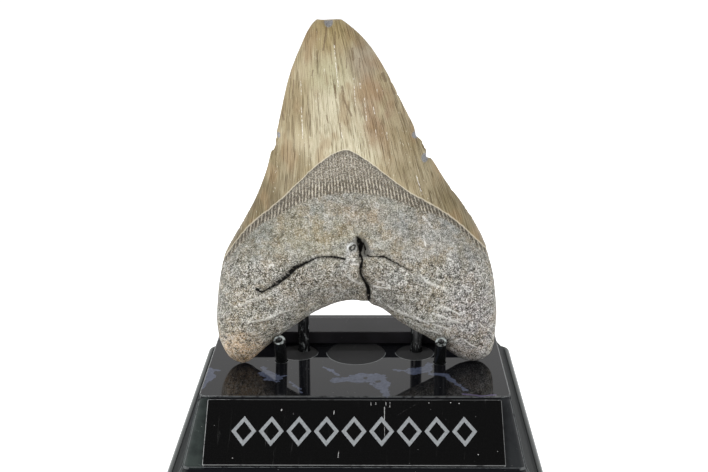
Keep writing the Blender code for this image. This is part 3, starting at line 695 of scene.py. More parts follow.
# The tooth is one fossil: a smooth enamel crown with fine upright cracks and brown streaks, a dark
# chevron band of bare dentine under it, and a rough two-lobed root with a nutrient hole. It stands
# on its two lobes between the pegs, leaning back a little. Over the solid's form, its mesh is
# divided finely and carved: cracks, ridges, grain and worn serrations are in the surface itself.
TOOTH_LEAN = 10.0
TOOTH_TURN = 1.5
TOOTH_FOOT_Y = -10.5
TIP_HEIGHT = 138.4     # of the solid's tip above its lobes, up the leaning tooth
TIP_BOW, BOW_FOOT = 2.2, 60.0
CROWN_FOOT = 44.0
ENAMEL_STEP, RIB_PITCH, RIB_HEIGHT = 0.20, 1.35, 0.17
SAW_PITCH, SAW_DEPTH = 1.45, 0.14
CRACK_DEPTH, PIT_DEPTH, NUB_HEIGHT, NUB_DENT = 1.2, 0.8, 1.2, 0.9
ENAMEL_EDGE_FRONT = [
    (-57.3, 36.2), (-52.8, 42.8), (-46.4, 51.6), (-40.5, 57.9), (-33.8, 63.3), (-28.6, 67.6),
    (-25.0, 71.3), (-21.3, 74.7), (-17.7, 78.2), (-14.1, 81.3), (-9.1, 84.9), (-3.8, 86.9),
    (0.0, 85.5), (4.2, 82.9), (9.1, 79.2), (14.8, 74.7), (20.5, 70.3), (24.1, 68.0), (27.9, 65.9),
    (35.2, 61.3), (41.7, 56.2), (46.7, 51.4), (53.3, 45.0), (58.6, 38.3),
]
ENAMEL_EDGE_BACK = [
    (-57.0, 37.0), (-46.0, 44.0), (-30.0, 50.5), (-12.0, 54.5), (4.0, 54.0), (24.0, 50.5),
    (44.0, 45.5), (60.0, 39.0),
]
BAND_LOWER_EDGE = [
    (-57.3, 36.2), (-41.2, 54.3), (-32.1, 60.2), (-24.8, 64.3), (-17.6, 67.8), (-4.7, 70.4),
    (7.0, 69.8), (17.4, 66.6), (25.2, 63.0), (33.5, 60.0), (43.7, 52.6), (58.6, 37.3),
]
CRACKS = {             # (u, v, half width) along each crack of the root
    "left": [(-4.7, 44.9, 0.30), (-6.4, 45.3, 0.34), (-8.9, 45.7, 0.40), (-11.4, 45.7, 0.30),
             (-14.3, 45.6, 0.22), (-17.6, 44.2, 0.34), (-19.6, 43.4, 0.40), (-21.3, 42.3, 0.42),
             (-23.4, 41.3, 0.52), (-25.4, 39.5, 0.62), (-27.4, 37.5, 0.52), (-29.5, 35.9, 0.60),
             (-31.5, 34.6, 0.56), (-33.3, 33.5, 0.44), (-35.6, 32.1, 0.22), (-37.1, 31.6, 0.45),
             (-38.4, 32.2, 0.30)],
    "right": [(5.0, 46.2, 0.26), (5.7, 45.9, 0.28), (7.5, 46.0, 0.16), (8.8, 45.6, 0.34),
              (10.4, 46.1, 0.22), (11.9, 45.5, 0.36), (13.0, 44.6, 0.36), (14.2, 43.7, 0.24),
              (16.0, 42.8, 0.22), (17.3, 41.7, 0.18), (18.5, 41.6, 0.12), (19.8, 40.5, 0.14),
              (21.6, 39.6, 0.06)],
    "branch": [(9.0, 44.9, 0.06), (10.2, 45.4, 0.20), (11.6, 45.3, 0.22)],
    "down": [(1.5, 47.6, 0.36), (1.7, 45.6, 0.34), (2.3, 44.3, 0.34), (2.1, 42.3, 0.30),
             (2.0, 39.5, 0.40), (2.2, 37.8, 0.48), (3.5, 34.9, 0.40), (4.7, 32.2, 0.44),
             (5.2, 29.7, 0.48), (5.0, 27.3, 0.44), (4.3, 25.0, 0.36)],
    "hole": [(0.8, 52.6, 0.15), (1.1, 51.6, 0.45), (1.7, 50.4, 0.80), (1.6, 48.9, 0.50),
             (1.6, 47.6, 0.34)],
    "beside the hole": [(2.6, 50.6, 0.20), (3.3, 49.0, 0.24), (3.6, 47.4, 0.12)],
}
RIDGES = [             # (u, v, height) along each raised line of the root
    [(-4.1, 38.7, 0.1), (-1.5, 36.3, 0.4), (1.9, 34.2, 0.3), (3.4, 33.8, 0.1)],
    [(-43.5, 17.6, 0.1), (-41.6, 19.3, 0.4), (-35.3, 20.2, 0.5), (-30.1, 22.8, 0.5), (-24.2, 23.8, 0.2)],
    [(-50.0, 24.6, 0.1), (-44.0, 26.6, 0.4), (-40.2, 28.6, 0.4), (-35.0, 30.0, 0.3), (-29.0, 32.6, 0.1)],
    [(22.7, 40.3, 0.1), (27.8, 35.1, 0.4), (33.0, 32.7, 0.4), (37.5, 28.8, 0.1)],
    [(11.9, 25.1, 0.2), (19.3, 21.4, 0.5), (26.0, 18.6, 0.5), (31.9, 18.2, 0.3), (39.2, 18.5, 0.4),
     (43.0, 16.8, 0.1)],
]
NUB = (-1.5, 49.2)
PITS = [(-41.0, 11.1, 0.7), (39.1, 36.6, 0.7), (-36.3, 36.5, 0.6), (-19.8, 45.6, 0.5), (48.8, 18.1, 0.6),
        (28.0, 9.6, 0.7)]
CHIPS = [              # (u, v, reach, depth) of each nick in the cutting edges
    (24.9, 91.6, 0.9, 0.30), (27.9, 87.6, 1.5, 0.60), (29.4, 83.2, 0.9, 0.70), (-30.5, 91.4, 1.0, 0.45),
    (-32.6, 86.6, 0.8, 0.45), (14.2, 112.4, 0.8, 0.30), (17.0, 107.6, 0.7, 0.30), (-25.6, 107.0, 0.6, 0.2),
    (38.5, 69.5, 0.9, 0.20),
]
BROKEN = [(27.6, 82.6, 1.6, 2.0), (24.0, 91.6, 1.8, 1.6), (-30.0, 92.2, 0.9, 1.2), (-9.8, 136.2, 2.0, 2.6)]
ARCH_DROP = 1.6
TIP_FLAT = 137.0
TIP_NOTCH = (-9.8, 136.6)
WHITE_STROKES = [      # u, v to u, v and half width of each white hairline in the enamel
    (-7.6, 126.5, -7.1, 119.7, 0.16), (-7.1, 119.7, -6.2, 111.6, 0.22), (-20.6, 102.5, -20.1, 91.5, 0.18),
    (-20.7, 112.5, -20.6, 108.5, 0.12), (-0.2, 113.6, 0.3, 104.3, 0.13), (3.9, 105.7, 4.6, 98.1, 0.16),
    (7.4, 102.3, 7.7, 100.9, 0.18), (2.2, 111.6, 2.3, 110.8, 0.20), (8.9, 108.9, 9.0, 108.5, 0.16),
    (8.1, 93.6, 8.2, 91.6, 0.13), (12.4, 93.0, 12.6, 90.6, 0.12), (-11.5, 117.2, -11.4, 115.2, 0.13),
    (-5.0, 92.8, -4.6, 90.6, 0.16), (24.2, 75.5, 25.9, 69.6, 0.22),
]
DARK_STROKES = [       # the same for dark brown and grey lines and stains
    (-10.7, 133.0, -11.2, 128.9, 0.40), (-11.2, 128.9, -11.8, 125.5, 0.30), (-7.3, 131.5, -7.3, 127.4, 0.24),
    (-0.5, 125.0, -0.3, 121.6, 0.30), (-2.8, 121.4, -3.0, 118.4, 0.18), (2.1, 121.1, 2.2, 118.7, 0.20),
    (-4.6, 110.4, -4.1, 105.8, 0.32), (-4.1, 105.8, -1.5, 100.3, 0.34), (-7.5, 110.6, -7.2, 107.2, 0.34),
    (-10.7, 99.4, -10.3, 97.6, 0.20), (-5.6, 96.3, -5.2, 91.9, 0.16), (-28.2, 100.1, -27.9, 98.7, 0.42),
    (11.4, 114.9, 11.9, 113.7, 0.75), (15.1, 109.3, 15.5, 108.5, 0.42), (-16.0, 116.8, -16.2, 115.8, 0.22),
    (24.6, 73.6, 25.7, 70.6, 0.24), (-23.6, 113.0, -23.9, 109.0, 0.24),
]
PALE_STROKES = [       # whitish scratches and crumbs on the root
    (26.6, 60.2, 29.2, 57.0, 0.30), (26.4, 52.8, 27.0, 50.0, 0.24), (36.5, 44.0, 37.4, 43.4, 0.28),
    (30.6, 21.6, 36.4, 19.6, 0.30), (28.6, 14.0, 33.4, 12.4, 0.34), (25.0, 19.2, 28.6, 17.0, 0.34),
    (34.5, 24.5, 40.5, 21.5, 0.22), (31.0, 16.6, 37.0, 14.6, 0.26), (-16.2, 45.1, -16.0, 45.0, 0.50),
    (-32.9, 41.9, -32.8, 41.9, 0.60), (-2.3, 46.6, -0.8, 45.0, 0.30), (-1.4, 42.8, 0.6, 42.5, 0.24),
    (-0.2, 52.2, -0.1, 51.8, 0.34), (8.0, 35.2, 12.6, 33.4, 0.28), (7.4, 32.6, 13.0, 31.8, 0.22),
    (42.4, 10.4, 46.8, 7.4, 0.24), (38.0, 8.6, 42.0, 10.6, 0.20),
]


def bow_at(v):
    """How far the tooth's middle plane has bowed back at a height."""
    return -TIP_BOW * np.clip((v - BOW_FOOT) / 80.0, 0.0, 1.0) ** 2


def centre_at(v):
    """How far to the right the middle of the tooth's outline lies at a height."""
    return np.interp(v, (40, 90, 138), (1.0, -3.5, -9.5))


def line_through(points, spacing):
    """A smooth curve through points of any dimension, about one vertex every spacing."""
    pts = np.array(points, float)
    result = []
    for i in range(len(pts) - 1):
        before, start_at, end, after = (pts[min(max(i + k, 0), len(pts) - 1)] for k in (-1, 0, 1, 2))
        steps = max(1, round(float(np.linalg.norm((end - start_at)[:2])) / spacing))
        for t in np.arange(steps) / steps:
            result.append(0.5 * (2 * start_at + (end - before) * t
                                 + (2 * before - 5 * start_at + 4 * end - after) * t ** 2
                                 + (3 * start_at - before - 3 * end + after) * t ** 3))
    result.append(pts[-1])
    return np.array(result)


def height_of(edge, u):
    """How high a border drawn through points lies, at each place across the tooth."""
    line = line_through(edge, 1.0)
    return np.interp(u, line[:, 0], line[:, 1])


def ease(low, high, value):
    """Eases from 0 at low to 1 at high, which may lie the other way round."""
    t = np.clip((value - low) / (high - low), 0.0, 1.0)
    return t * t * (3 - 2 * t)


def rough(points, size, seed, octaves=1):
    """Smooth unevenness of a given size, about -1 to 1."""
    sums = np.zeros(len(points))
    for octave in range(octaves):
        scale = 2 ** octave / size
        values = [noise.noise(Vector((a * scale + seed, b * scale, c * scale - seed))) for a, b, c in points]
        sums += np.array(values) / 2 ** octave
    return sums


def tooth_axes():
    """Unit vectors of the tooth's own directions: right, up the tooth, and to the viewer."""
    lean, turn = math.radians(TOOTH_LEAN), Matrix.Rotation(math.radians(TOOTH_TURN), 3, "Z")
    right = turn @ Vector((1, 0, 0))
    up = turn @ Vector((0, math.sin(lean), math.cos(lean)))
    out = turn @ Vector((0, -math.cos(lean), math.sin(lean)))
    return np.array([right, up, out])


def mesh_points(mesh):
    points = np.empty(len(mesh.vertices) * 3)
    mesh.vertices.foreach_get("co", points)
    return points.reshape(-1, 3)


class ToothPlace:
    """Where each vertex lies in the tooth's own plane, and how far it is from its features."""

    def __init__(self, mesh, origin):
        self.mesh = mesh
        self.world = mesh_points(mesh)
        self.u, self.v, self.w = ((self.world / MM - origin) @ tooth_axes().T).T
        normals = np.empty(len(mesh.vertices) * 3)
        mesh.vertex_normals.foreach_get("vector", normals)
        self.normals = normals.reshape(-1, 3)
        self.facing = self.normals @ tooth_axes()[2]
        self.front = self.w > bow_at(self.v)

    def from_lines(self, lines):
        """Distance in mm from the nearest line's edge, and the side of it as a share of its width."""
        away, share = np.full(len(self.u), 9.0), np.full(len(self.u), 9.0)
        for points in lines:
            d, half, beside = nearest_on(line_through(points, 0.7), self.u, self.v)
            closer = self.front & (d - half < away)
            away = np.where(closer, d - half, away)
            share = np.where(closer, np.clip(beside / half, -9.0, 9.0), share)
        return away, share

    def store_lines(self, name, lines):
        away, share = self.from_lines(lines)
        self.store("from_" + name, away)
        self.store("beside_" + name, share)

    def store_colour(self, name, colours):
        attribute = self.mesh.attributes.new(name, "FLOAT_COLOR", "POINT")
        rgba = np.concatenate([colours, np.ones((len(colours), 1))], axis=1)
        attribute.data.foreach_set("color", rgba.astype(np.float32).ravel())

    def store(self, name, values):
        attribute = self.mesh.attributes.new(name, "FLOAT", "POINT")
        attribute.data.foreach_set("value", np.asarray(values, np.float32))


def tooth_origin(points):
    """The tooth's own zero: on its middle plane where that meets the deck, level with its lobes."""
    axes = tooth_axes()
    turn = Matrix.Rotation(math.radians(TOOTH_TURN), 3, "Z")
    base = np.array(turn @ Vector((0, TOOTH_FOOT_Y, 0)))
    tip = ((points / MM - base) @ axes.T)[:, 1].max()
    return base + np.array([0, 0, (tip - TIP_HEIGHT) / axes[1][2]])


def nearest_on(line, u, v):
    """Distance from each point to a line's nearest place, that place's third value, and the side."""
    best, side = np.full(len(u), 1e9), np.zeros(len(u))
    width = np.zeros(len(u))
    for a, b in zip(line[:-1], line[1:]):
        along = b[:2] - a[:2]
        length = max(float(np.hypot(*along)), 1e-6)
        t = np.clip(((u - a[0]) * along[0] + (v - a[1]) * along[1]) / length ** 2, 0, 1)
        away = np.hypot(u - a[0] - t * along[0], v - a[1] - t * along[1])
        closer = away < best
        best = np.where(closer, away, best)
        width = np.where(closer, a[2] + t * (b[2] - a[2]), width)
        beside = (along[0] * (v - a[1]) - along[1] * (u - a[0])) / length
        side = np.where(closer, beside, side)
    return best, width, side


def make_tooth():
    bpy.ops.object.select_all(action="DESELECT")
    tooth = bpy.data.objects.new("fossil_tooth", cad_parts["tooth"].data.copy())
    bpy.context.scene.collection.objects.link(tooth)
    take(tooth)
    bpy.ops.object.mode_set(mode="EDIT")
    bpy.ops.mesh.select_all(action="SELECT")
    bpy.ops.mesh.remove_doubles(threshold=0.01 * MM)
    bpy.ops.object.mode_set(mode="OBJECT")
    for name in [a.name for a in tooth.data.attributes if a.name.startswith("sharp")]:
        tooth.data.attributes.remove(tooth.data.attributes[name])      # or the facets would show

    origin = tooth_origin(mesh_points(tooth.data))
    coarse = ToothPlace(tooth.data, origin)
    on_rim = np.abs(coarse.w - bow_at(coarse.v)) < 0.02
    crease = tooth.data.attributes.new("crease_edge", "FLOAT", "EDGE")
    for edge in tooth.data.edges:
        a, b = edge.vertices
        if on_rim[a] and on_rim[b] and min(coarse.v[a], coarse.v[b]) > CROWN_FOOT - 2:
            crease.data[edge.index].value = 0.9
    apply_modifier(tooth, "SUBSURF", levels=2, render_levels=2)

    for reach in (1.4, 0.8):
        coarse = ToothPlace(tooth.data, origin)
        away, _ = coarse.from_lines(CRACKS.values())
        fine = set(np.nonzero(away < reach)[0])
        bpy.ops.object.mode_set(mode="EDIT")
        pick(tooth, lambda face: all(corner.index in fine for corner in face.verts))
        bpy.ops.mesh.subdivide(number_cuts=1)
        bpy.ops.object.mode_set(mode="OBJECT")
    carve(tooth.data, ToothPlace(tooth.data, origin))
    tooth.data.shade_smooth()
    return tooth


def fan(u, v):
    """A coordinate across the tooth whose lines run up the crown and draw together at the tip."""
    half = np.interp(v, (40, 60, 80, 100, 120, 138), (52, 44, 33, 25, 17, 8))
    return (u - centre_at(v)) * (44.0 / half) ** 0.45


def as_lines(strokes):
    return [[(a, b, half), (c, d, half)] for a, b, c, d, half in strokes]


def patch(u, v, centre_u, centre_v, reach_u, reach_v):
    """1 at the middle of a soft patch, 0 outside it."""
    return ease(1.0, 0.0, ((u - centre_u) / reach_u) ** 2 + ((v - centre_v) / reach_v) ** 2)


def tinted(colour, *layers):
    """The colour with tints laid over it in turn, each by its share."""
    for share, tint in layers:
        colour = colour + share[:, None] * (np.array(tint) - colour)
    return colour


def enamel_tint(u, v, rim, flat):
    """The crown's large tints: a cream middle, olive-brown edges, and warm and mauve clouds."""
    clouds = ease(-0.35, 0.35, rough(flat, 19.0, 31.0, 3))
    patches = rough(flat * (1.0, 0.6, 1.0), 7.5, 37.0, 3)
    light = np.maximum(patch(u, v, -6.0, 97.0, 15.0, 30.0), patch(u, v, -4.0, 86.0, 19.0, 13.0))
    pink = patch(u, v, 8.0, 104.0, 10.0, 24.0) * ease(-0.5, 0.2, patches)
    wings = ease(92.0, 68.0, v) * ease(26.0, 8.0, rim) * np.where(u < 0, 1.0, 0.7)
    return tinted(
        np.tile((0.355, 0.290, 0.165), (len(u), 1)),
        (clouds, (0.465, 0.395, 0.255)),
        (np.clip(1.15 * light, 0, 1), (0.58, 0.53, 0.38)),
        (0.75 * patch(u, v, 3.5, 121.0, 8.0, 11.0), (0.37, 0.315, 0.24)),
        (0.70 * ease(9.0, 0.5, rim), (0.250, 0.195, 0.095)),
        (0.80 * patch(u, v, -10.0, 134.0, 16.0, 12.0), (0.34, 0.26, 0.115)),
        (0.45 * patch(u, v, -10.0, 115.0, 11.0, 9.0), (0.40, 0.385, 0.225)),
        (0.75 * pink, (0.33, 0.215, 0.13)),
        (0.60 * patch(u, v, -25.0, 104.0, 8.0, 16.0), (0.27, 0.205, 0.10)),
        (0.35 * patch(u, v, 19.0, 92.0, 8.0, 16.0), (0.30, 0.23, 0.13)),
        (0.90 * wings, (0.185, 0.145, 0.075)),
        (0.60 * ease(0.05, 0.5, patches), (0.32, 0.22, 0.115)),
    )


STONE_PATCHES = [      # middle and reach (u, v, u, v), share and colour of each tint of the root
    ((-20.0, 55.0, 27.0, 13.0), 0.85, (0.37, 0.335, 0.225)),
    ((3.0, 62.0, 12.0, 7.0), 0.60, (0.42, 0.35, 0.27)),
    ((-40.0, 54.0, 12.0, 13.0), 0.80, (0.27, 0.285, 0.255)),
    ((-14.0, 63.0, 9.0, 4.5), 0.55, (0.30, 0.32, 0.30)),
    ((27.0, 53.0, 20.0, 13.0), 0.60, (0.46, 0.43, 0.385)),
    ((19.0, 60.0, 7.0, 5.0), 0.60, (0.32, 0.335, 0.33)),
    ((40.0, 58.0, 10.0, 9.0), 0.80, (0.27, 0.285, 0.275)),
    ((42.0, 42.0, 9.0, 9.0), 0.55, (0.33, 0.32, 0.32)),
    ((-6.0, 33.0, 30.0, 12.0), 0.80, (0.235, 0.205, 0.150)),
    ((18.0, 28.0, 20.0, 12.0), 0.75, (0.25, 0.225, 0.175)),
    ((-30.0, 27.0, 14.0, 10.0), 0.60, (0.30, 0.275, 0.215)),
    ((46.0, 18.0, 15.0, 24.0), 0.80, (0.315, 0.285, 0.29)),
    ((-44.0, 17.0, 14.0, 18.0), 0.65, (0.37, 0.32, 0.215)),
    # The two lobe tips are painted lighter than their own orange and grey, to lift the shade they face down
    # into: painted light.
    ((-47.0, 2.0, 15.0, 15.0), 0.98, (0.92, 0.66, 0.40)),
    ((43.0, 2.0, 13.0, 10.0), 0.90, (0.44, 0.40, 0.385)),
    # Dark grey beside the nutrient hole: painted shade in the hollow there.
    ((3.8, 48.0, 3.2, 4.5), 0.85, (0.13, 0.12, 0.10)),
    ((-1.6, 45.5, 3.4, 4.4), 0.80, (0.47, 0.47, 0.45)),
]


def stone_tint(u, v, flat):
    """The root's large tints: grey above, brown under the crack, mauve and orange lobes whose down-facing
    tips are lightened as painted light against their shade, and a painted shade beside the hole.
    """
    clouds = ease(-0.3, 0.3, rough(flat, 17.0, 41.0, 3))
    patches = rough(flat, 6.5, 47.0, 3)
    return tinted(
        np.tile((0.29, 0.28, 0.235), (len(u), 1)),
        (clouds, (0.40, 0.38, 0.31)),
        *((share * patch(u, v, *spot), tint) for spot, share, tint in STONE_PATCHES),
        (0.60 * ease(0.05, 0.5, patches), (0.25, 0.22, 0.145)),
        (0.45 * ease(-0.1, -0.5, patches), (0.50, 0.49, 0.455)),
    )


def carve(mesh, place):
    """Moves the vertices along their normals for everything that shows on the surface."""
    u, v, front = place.u, place.v, place.front
    flat = np.stack([u, v, np.where(front, 0.0, 90.0)], axis=1)
    rim_points = np.nonzero(np.abs(place.facing) < 0.12)[0]
    tree = kdtree.KDTree(len(rim_points))
    for i in rim_points:
        tree.insert((u[i], v[i], 0.0), int(i))
    tree.balance()
    rim = np.array([tree.find((a, b, 0.0))[2] for a, b in zip(u, v)])

    ragged = 0.30 * rough(flat, 2.2, 4.0, 2)
    above = np.where(front, v - height_of(ENAMEL_EDGE_FRONT, u), v - height_of(ENAMEL_EDGE_BACK, u))
    above = above + ragged
    below = np.where(front, height_of(BAND_LOWER_EDGE, u) - v, -above - 1.0) + 0.6 * ragged
    enamel = ease(-0.3, 0.3, above)
    root = ease(-0.6, 1.4, below) * (1 - enamel)
    band = (1 - enamel) * (1 - root)
    across = fan(u, v)
    away, _ = place.from_lines(CRACKS.values())

    grain = np.stack([across, 0.10 * v, np.where(front, 0.0, 50.0)], axis=1)
    rib_phase = across / RIB_PITCH + 0.25 * rough(flat, 7.0, 9.0)
    broken = 0.5 + 0.5 * rough(np.stack([across, 0.35 * v, flat[:, 2]], axis=1), 2.0, 6.0)
    swell = rough(flat, 15.0, 2.5, 2)
    coarse_grain = rough(flat, 5.5, 2.0, 2)
    middle_grain = rough(flat, 2.1, 7.0, 1)
    fine_grain = rough(flat, 1.05, 5.0, 1)
    inside = np.clip(rim / 2.5, 0.15, 1.0)

    height = ENAMEL_STEP * enamel + 0.14 * np.exp(-((above - 0.3) / 0.7) ** 2) * inside
    height += enamel * inside * (0.05 * rough(grain, 1.6, 1.0, 2) + 0.10 * rough(flat, 16.0, 3.0))
    ribs = RIB_HEIGHT * np.sin(2 * math.pi * rib_phase) * (0.4 + 0.9 * broken)
    height += band * inside * (ribs + 0.12 * middle_grain)
    height += root * inside * (0.30 * swell + 0.28 * coarse_grain + 0.26 * middle_grain + 0.20 * fine_grain)
    on_ridge = np.zeros(len(u))
    for points in RIDGES:
        d, rise, side = nearest_on(line_through(points, 0.8), u, v)
        crest = np.where(front, rise * np.exp(-(d / 0.8) ** 2), 0.0)
        height += 1.5 * crest + np.where(front, rise * np.tanh(side / 1.0) * np.exp(-(d / 2.6) ** 2), 0.0)
        on_ridge = np.maximum(on_ridge, 2.0 * crest)

    from_edge = ease(0.4, 3.0, rim)
    shoulder = 0.40 * np.exp(-np.clip(away, 0, 9) / 0.55)
    height -= from_edge * (CRACK_DEPTH * np.clip(-away / 0.30, 0, 1) + shoulder)
    nub = np.where(front, np.hypot(u - NUB[0], v - NUB[1]), 30.0)
    height += NUB_HEIGHT * np.exp(-(nub / 1.7) ** 2) - NUB_DENT * np.exp(-(nub / 0.55) ** 2)
    for a, b, radius in PITS:
        height -= np.where(front, PIT_DEPTH * np.exp(-((u - a) ** 2 + (v - b) ** 2) / radius ** 2), 0)
    notch = np.hypot((u - TIP_NOTCH[0]) / 1.9, (v - TIP_NOTCH[1]) / 2.6)
    height -= np.where(front, 0.9 * np.exp(-notch ** 2), 0)
    moved = place.world + place.normals * (height * MM)[:, None]

    out = np.stack([u - centre_at(v), 0.25 * v], axis=1)
    out /= np.linalg.norm(out, axis=1)[:, None]
    worn = 0.5 + 0.5 * rough(flat, 9.0, 12.0)
    saw = SAW_DEPTH * np.sin(2 * math.pi * v / SAW_PITCH) * worn + 0.16 * rough(flat, 1.7, 15.0, 2)
    saw = saw * np.exp(-(rim / 0.5) ** 2) * ease(44.0, 50.0, v)
    for a, b, reach, depth in CHIPS:
        saw = saw - depth * np.exp(-(((u - a) ** 2 + (v - b) ** 2) / reach ** 2) ** 2)
    broken_off = np.zeros(len(u))
    for a, b, reach_u, reach_v in BROKEN:
        spot = np.exp(-(((u - a) / reach_u) ** 2 + ((v - b) / reach_v) ** 2) ** 2)
        broken_off = np.maximum(broken_off, np.where(front, spot, 0))
    axes = tooth_axes()
    moved += (out[:, :1] * axes[0] + out[:, 1:] * axes[1]) * (saw * MM)[:, None]
    lowered = np.minimum(TIP_FLAT + 0.22 * rough(flat, 2.2, 21.0) - v, 0.0)
    arch = ease(7.0, 0.0, rim) * ease(30.0, 14.0, np.abs(u - 2.0)) * ease(40.0, 34.0, v)
    lowered -= arch * (ARCH_DROP + 1.3 * np.exp(-((u - 5.0) / 3.0) ** 2))
    moved += axes[1] * (lowered * MM)[:, None]
    mesh.vertices.foreach_set("co", moved.ravel())
    mesh.update()

    place.store_lines("crack", CRACKS.values())
    place.store_lines("pale_scratch", as_lines(PALE_STROKES))
    place.store_lines("white_hairline", as_lines(WHITE_STROKES))
    place.store_lines("dark_streak", as_lines(DARK_STROKES))
    place.store_colour("enamel_tint", enamel_tint(u, v, rim, flat))
    place.store_colour("stone_tint", stone_tint(u, v, flat))
    measures = {
        "above_enamel_edge": above, "below_band": below, "from_nub": nub, "across": across,
        "rib_phase": rib_phase, "on_ridge": on_ridge, "broken_off": broken_off,
        "painted_shade_by_hole": np.where(front, patch(u, v, 3.3, 48.6, 2.6, 4.6), 0.0),
        "relief": 0.5 + 0.5 * (0.6 * middle_grain + 0.5 * fine_grain),
    }
    for name, values in measures.items():
        place.store(name, values)
    spot = mesh.attributes.new("tooth_place", "FLOAT_VECTOR", "POINT")
    spot.data.foreach_set("vector", np.stack([u, v, flat[:, 2]], axis=1).astype(np.float32).ravel())


def line_mask(finish, name, shake, outer=1.35, inner=0.75):
    """1 inside the stored lines, with edges that the shake makes uneven."""
    beside = abs(finish.attribute("beside_" + name)) + shake
    return beside.ramp(outer, inner) * finish.attribute("from_" + name).ramp(0.80, 0.40)


def enamel_colour(finish, v, across, side, place):
    """Streaks, hairline cracks, beads and stains along the crown, over its large tints."""
    def along(narrow, short, shift=0.0):
        """Coordinates that draw a pattern out along the crown."""
        return finish.join(across * narrow, v * short, side + shift if shift else side)

    broad = finish.noise(along(0.50, 0.045), 1.0, 3.0, 0.6)
    narrow = finish.noise(along(3.4, 0.11), 1.0, 2.0, 0.6)
    colour = finish.attribute("enamel_tint", "Color")
    colour = colour.stained(broad.ramp(0.50, 0.70) * 0.42, (0.50, 0.43, 0.33))
    colour = colour.bleached(broad.ramp(0.48, 0.32) * 0.30, (0.26, 0.25, 0.17))
    colour = colour.bleached(narrow.ramp(0.52, 0.70) * 0.42, (0.34, 0.32, 0.24))
    colour = colour.stained(narrow.ramp(0.49, 0.33) * 0.70, (0.42, 0.36, 0.26))
    grit = finish.noise(place, 2.6, 2.0, 0.7)
    colour = colour.stained(grit.ramp(0.45, 0.30) * 0.50, (0.45, 0.40, 0.33))
    hair = abs(finish.noise(along(1.5, 0.030, 7.0), 1.0, 2.0, 0.5) - 0.5)
    presence = finish.noise(along(0.6, 0.12), 1.0, 2.0).ramp(0.42, 0.56)
    colour = colour.stained(hair.ramp(0.040, 0.012) * presence * 0.80, (0.30, 0.25, 0.17))
    flecks = finish.cells(along(1.2, 0.24, 9.0), 1.0).ramp(0.24, 0.11)
    where = finish.noise(along(0.25, 0.05, 5.0), 1.0, 2.0).ramp(0.46, 0.60)
    colour = colour.stained(flecks * where * 0.70, (0.32, 0.24, 0.17))
    beads = finish.cells(along(1.5, 0.45), 1.0).ramp(0.20, 0.09)
    where = finish.noise(along(0.30, 0.03, 3.0), 1.0, 2.0).ramp(0.52, 0.62)
    colour = colour.painted(beads * where * 0.60, (0.82, 0.79, 0.68))
    shake = finish.noise(along(2.4, 0.9), 1.0, 3.0, 0.6) - 0.5
    dark = line_mask(finish, "dark_streak", shake * 4.0, 1.9, 0.2)
    colour = colour.painted(dark * 0.72, (0.15, 0.10, 0.055))
    dashes = (shake + narrow * 0.2).ramp(0.06, 0.16)
    white = line_mask(finish, "white_hairline", shake * 2.0, 1.3, 0.5) * dashes
    return colour.painted(white * 0.9, (0.93, 0.91, 0.84)), narrow


def root_colour(finish, v, place, speckle):
    """Dark pits, pale grains, scratches and crests over the root's tints, rougher towards the lobes."""
    rugged = v.ramp(50.0, 38.0) * 0.45 + 0.55
    hue = finish.noise(place, 0.16, 3.0, 0.6)
    colour = finish.attribute("stone_tint", "Color")
    colour = colour.stained(hue.ramp(0.50, 0.60) * 0.8, (0.93, 0.82, 0.66))
    colour = colour.stained(hue.ramp(0.48, 0.38) * 0.8, (0.77, 0.81, 0.83))
    relief = finish.attribute("relief").ramp(0.55, 0.20)
    colour = colour.stained(relief * rugged * 0.8, (0.32, 0.30, 0.27))
    coarse = finish.noise(place, 0.55, 5.0, 0.85)
    colour = colour.stained(coarse.ramp(0.49, 0.41) * rugged, (0.18, 0.165, 0.14))
    colour = colour.bleached(coarse.ramp(0.53, 0.60) * rugged * 0.8, (0.60, 0.59, 0.55))
    colour = colour.stained(speckle.ramp(0.48, 0.43) * rugged, (0.08, 0.07, 0.06))
    colour = colour.bleached(speckle.ramp(0.55, 0.60) * rugged, (0.78, 0.77, 0.73))
    fine = finish.noise(place, 3.0, 2.0, 0.7)
    colour = colour.stained(fine.ramp(0.46, 0.34) * 0.70, (0.15, 0.14, 0.12))
    colour = colour.bleached(fine.ramp(0.57, 0.70) * 0.60, (0.60, 0.59, 0.55))
    shake = finish.noise(place, 1.1, 3.0, 0.7) - 0.5
    scratch = line_mask(finish, "pale_scratch", shake * 5.0, 2.6, 0.4) * (shake + 0.5).ramp(0.38, 0.52)
    colour = colour.painted(scratch * 0.85, (0.76, 0.75, 0.71))
    crest = (finish.attribute("on_ridge") + shake * 1.4).ramp(0.15, 0.75)
    return colour.bleached(crest * 0.60, (0.56, 0.55, 0.50))


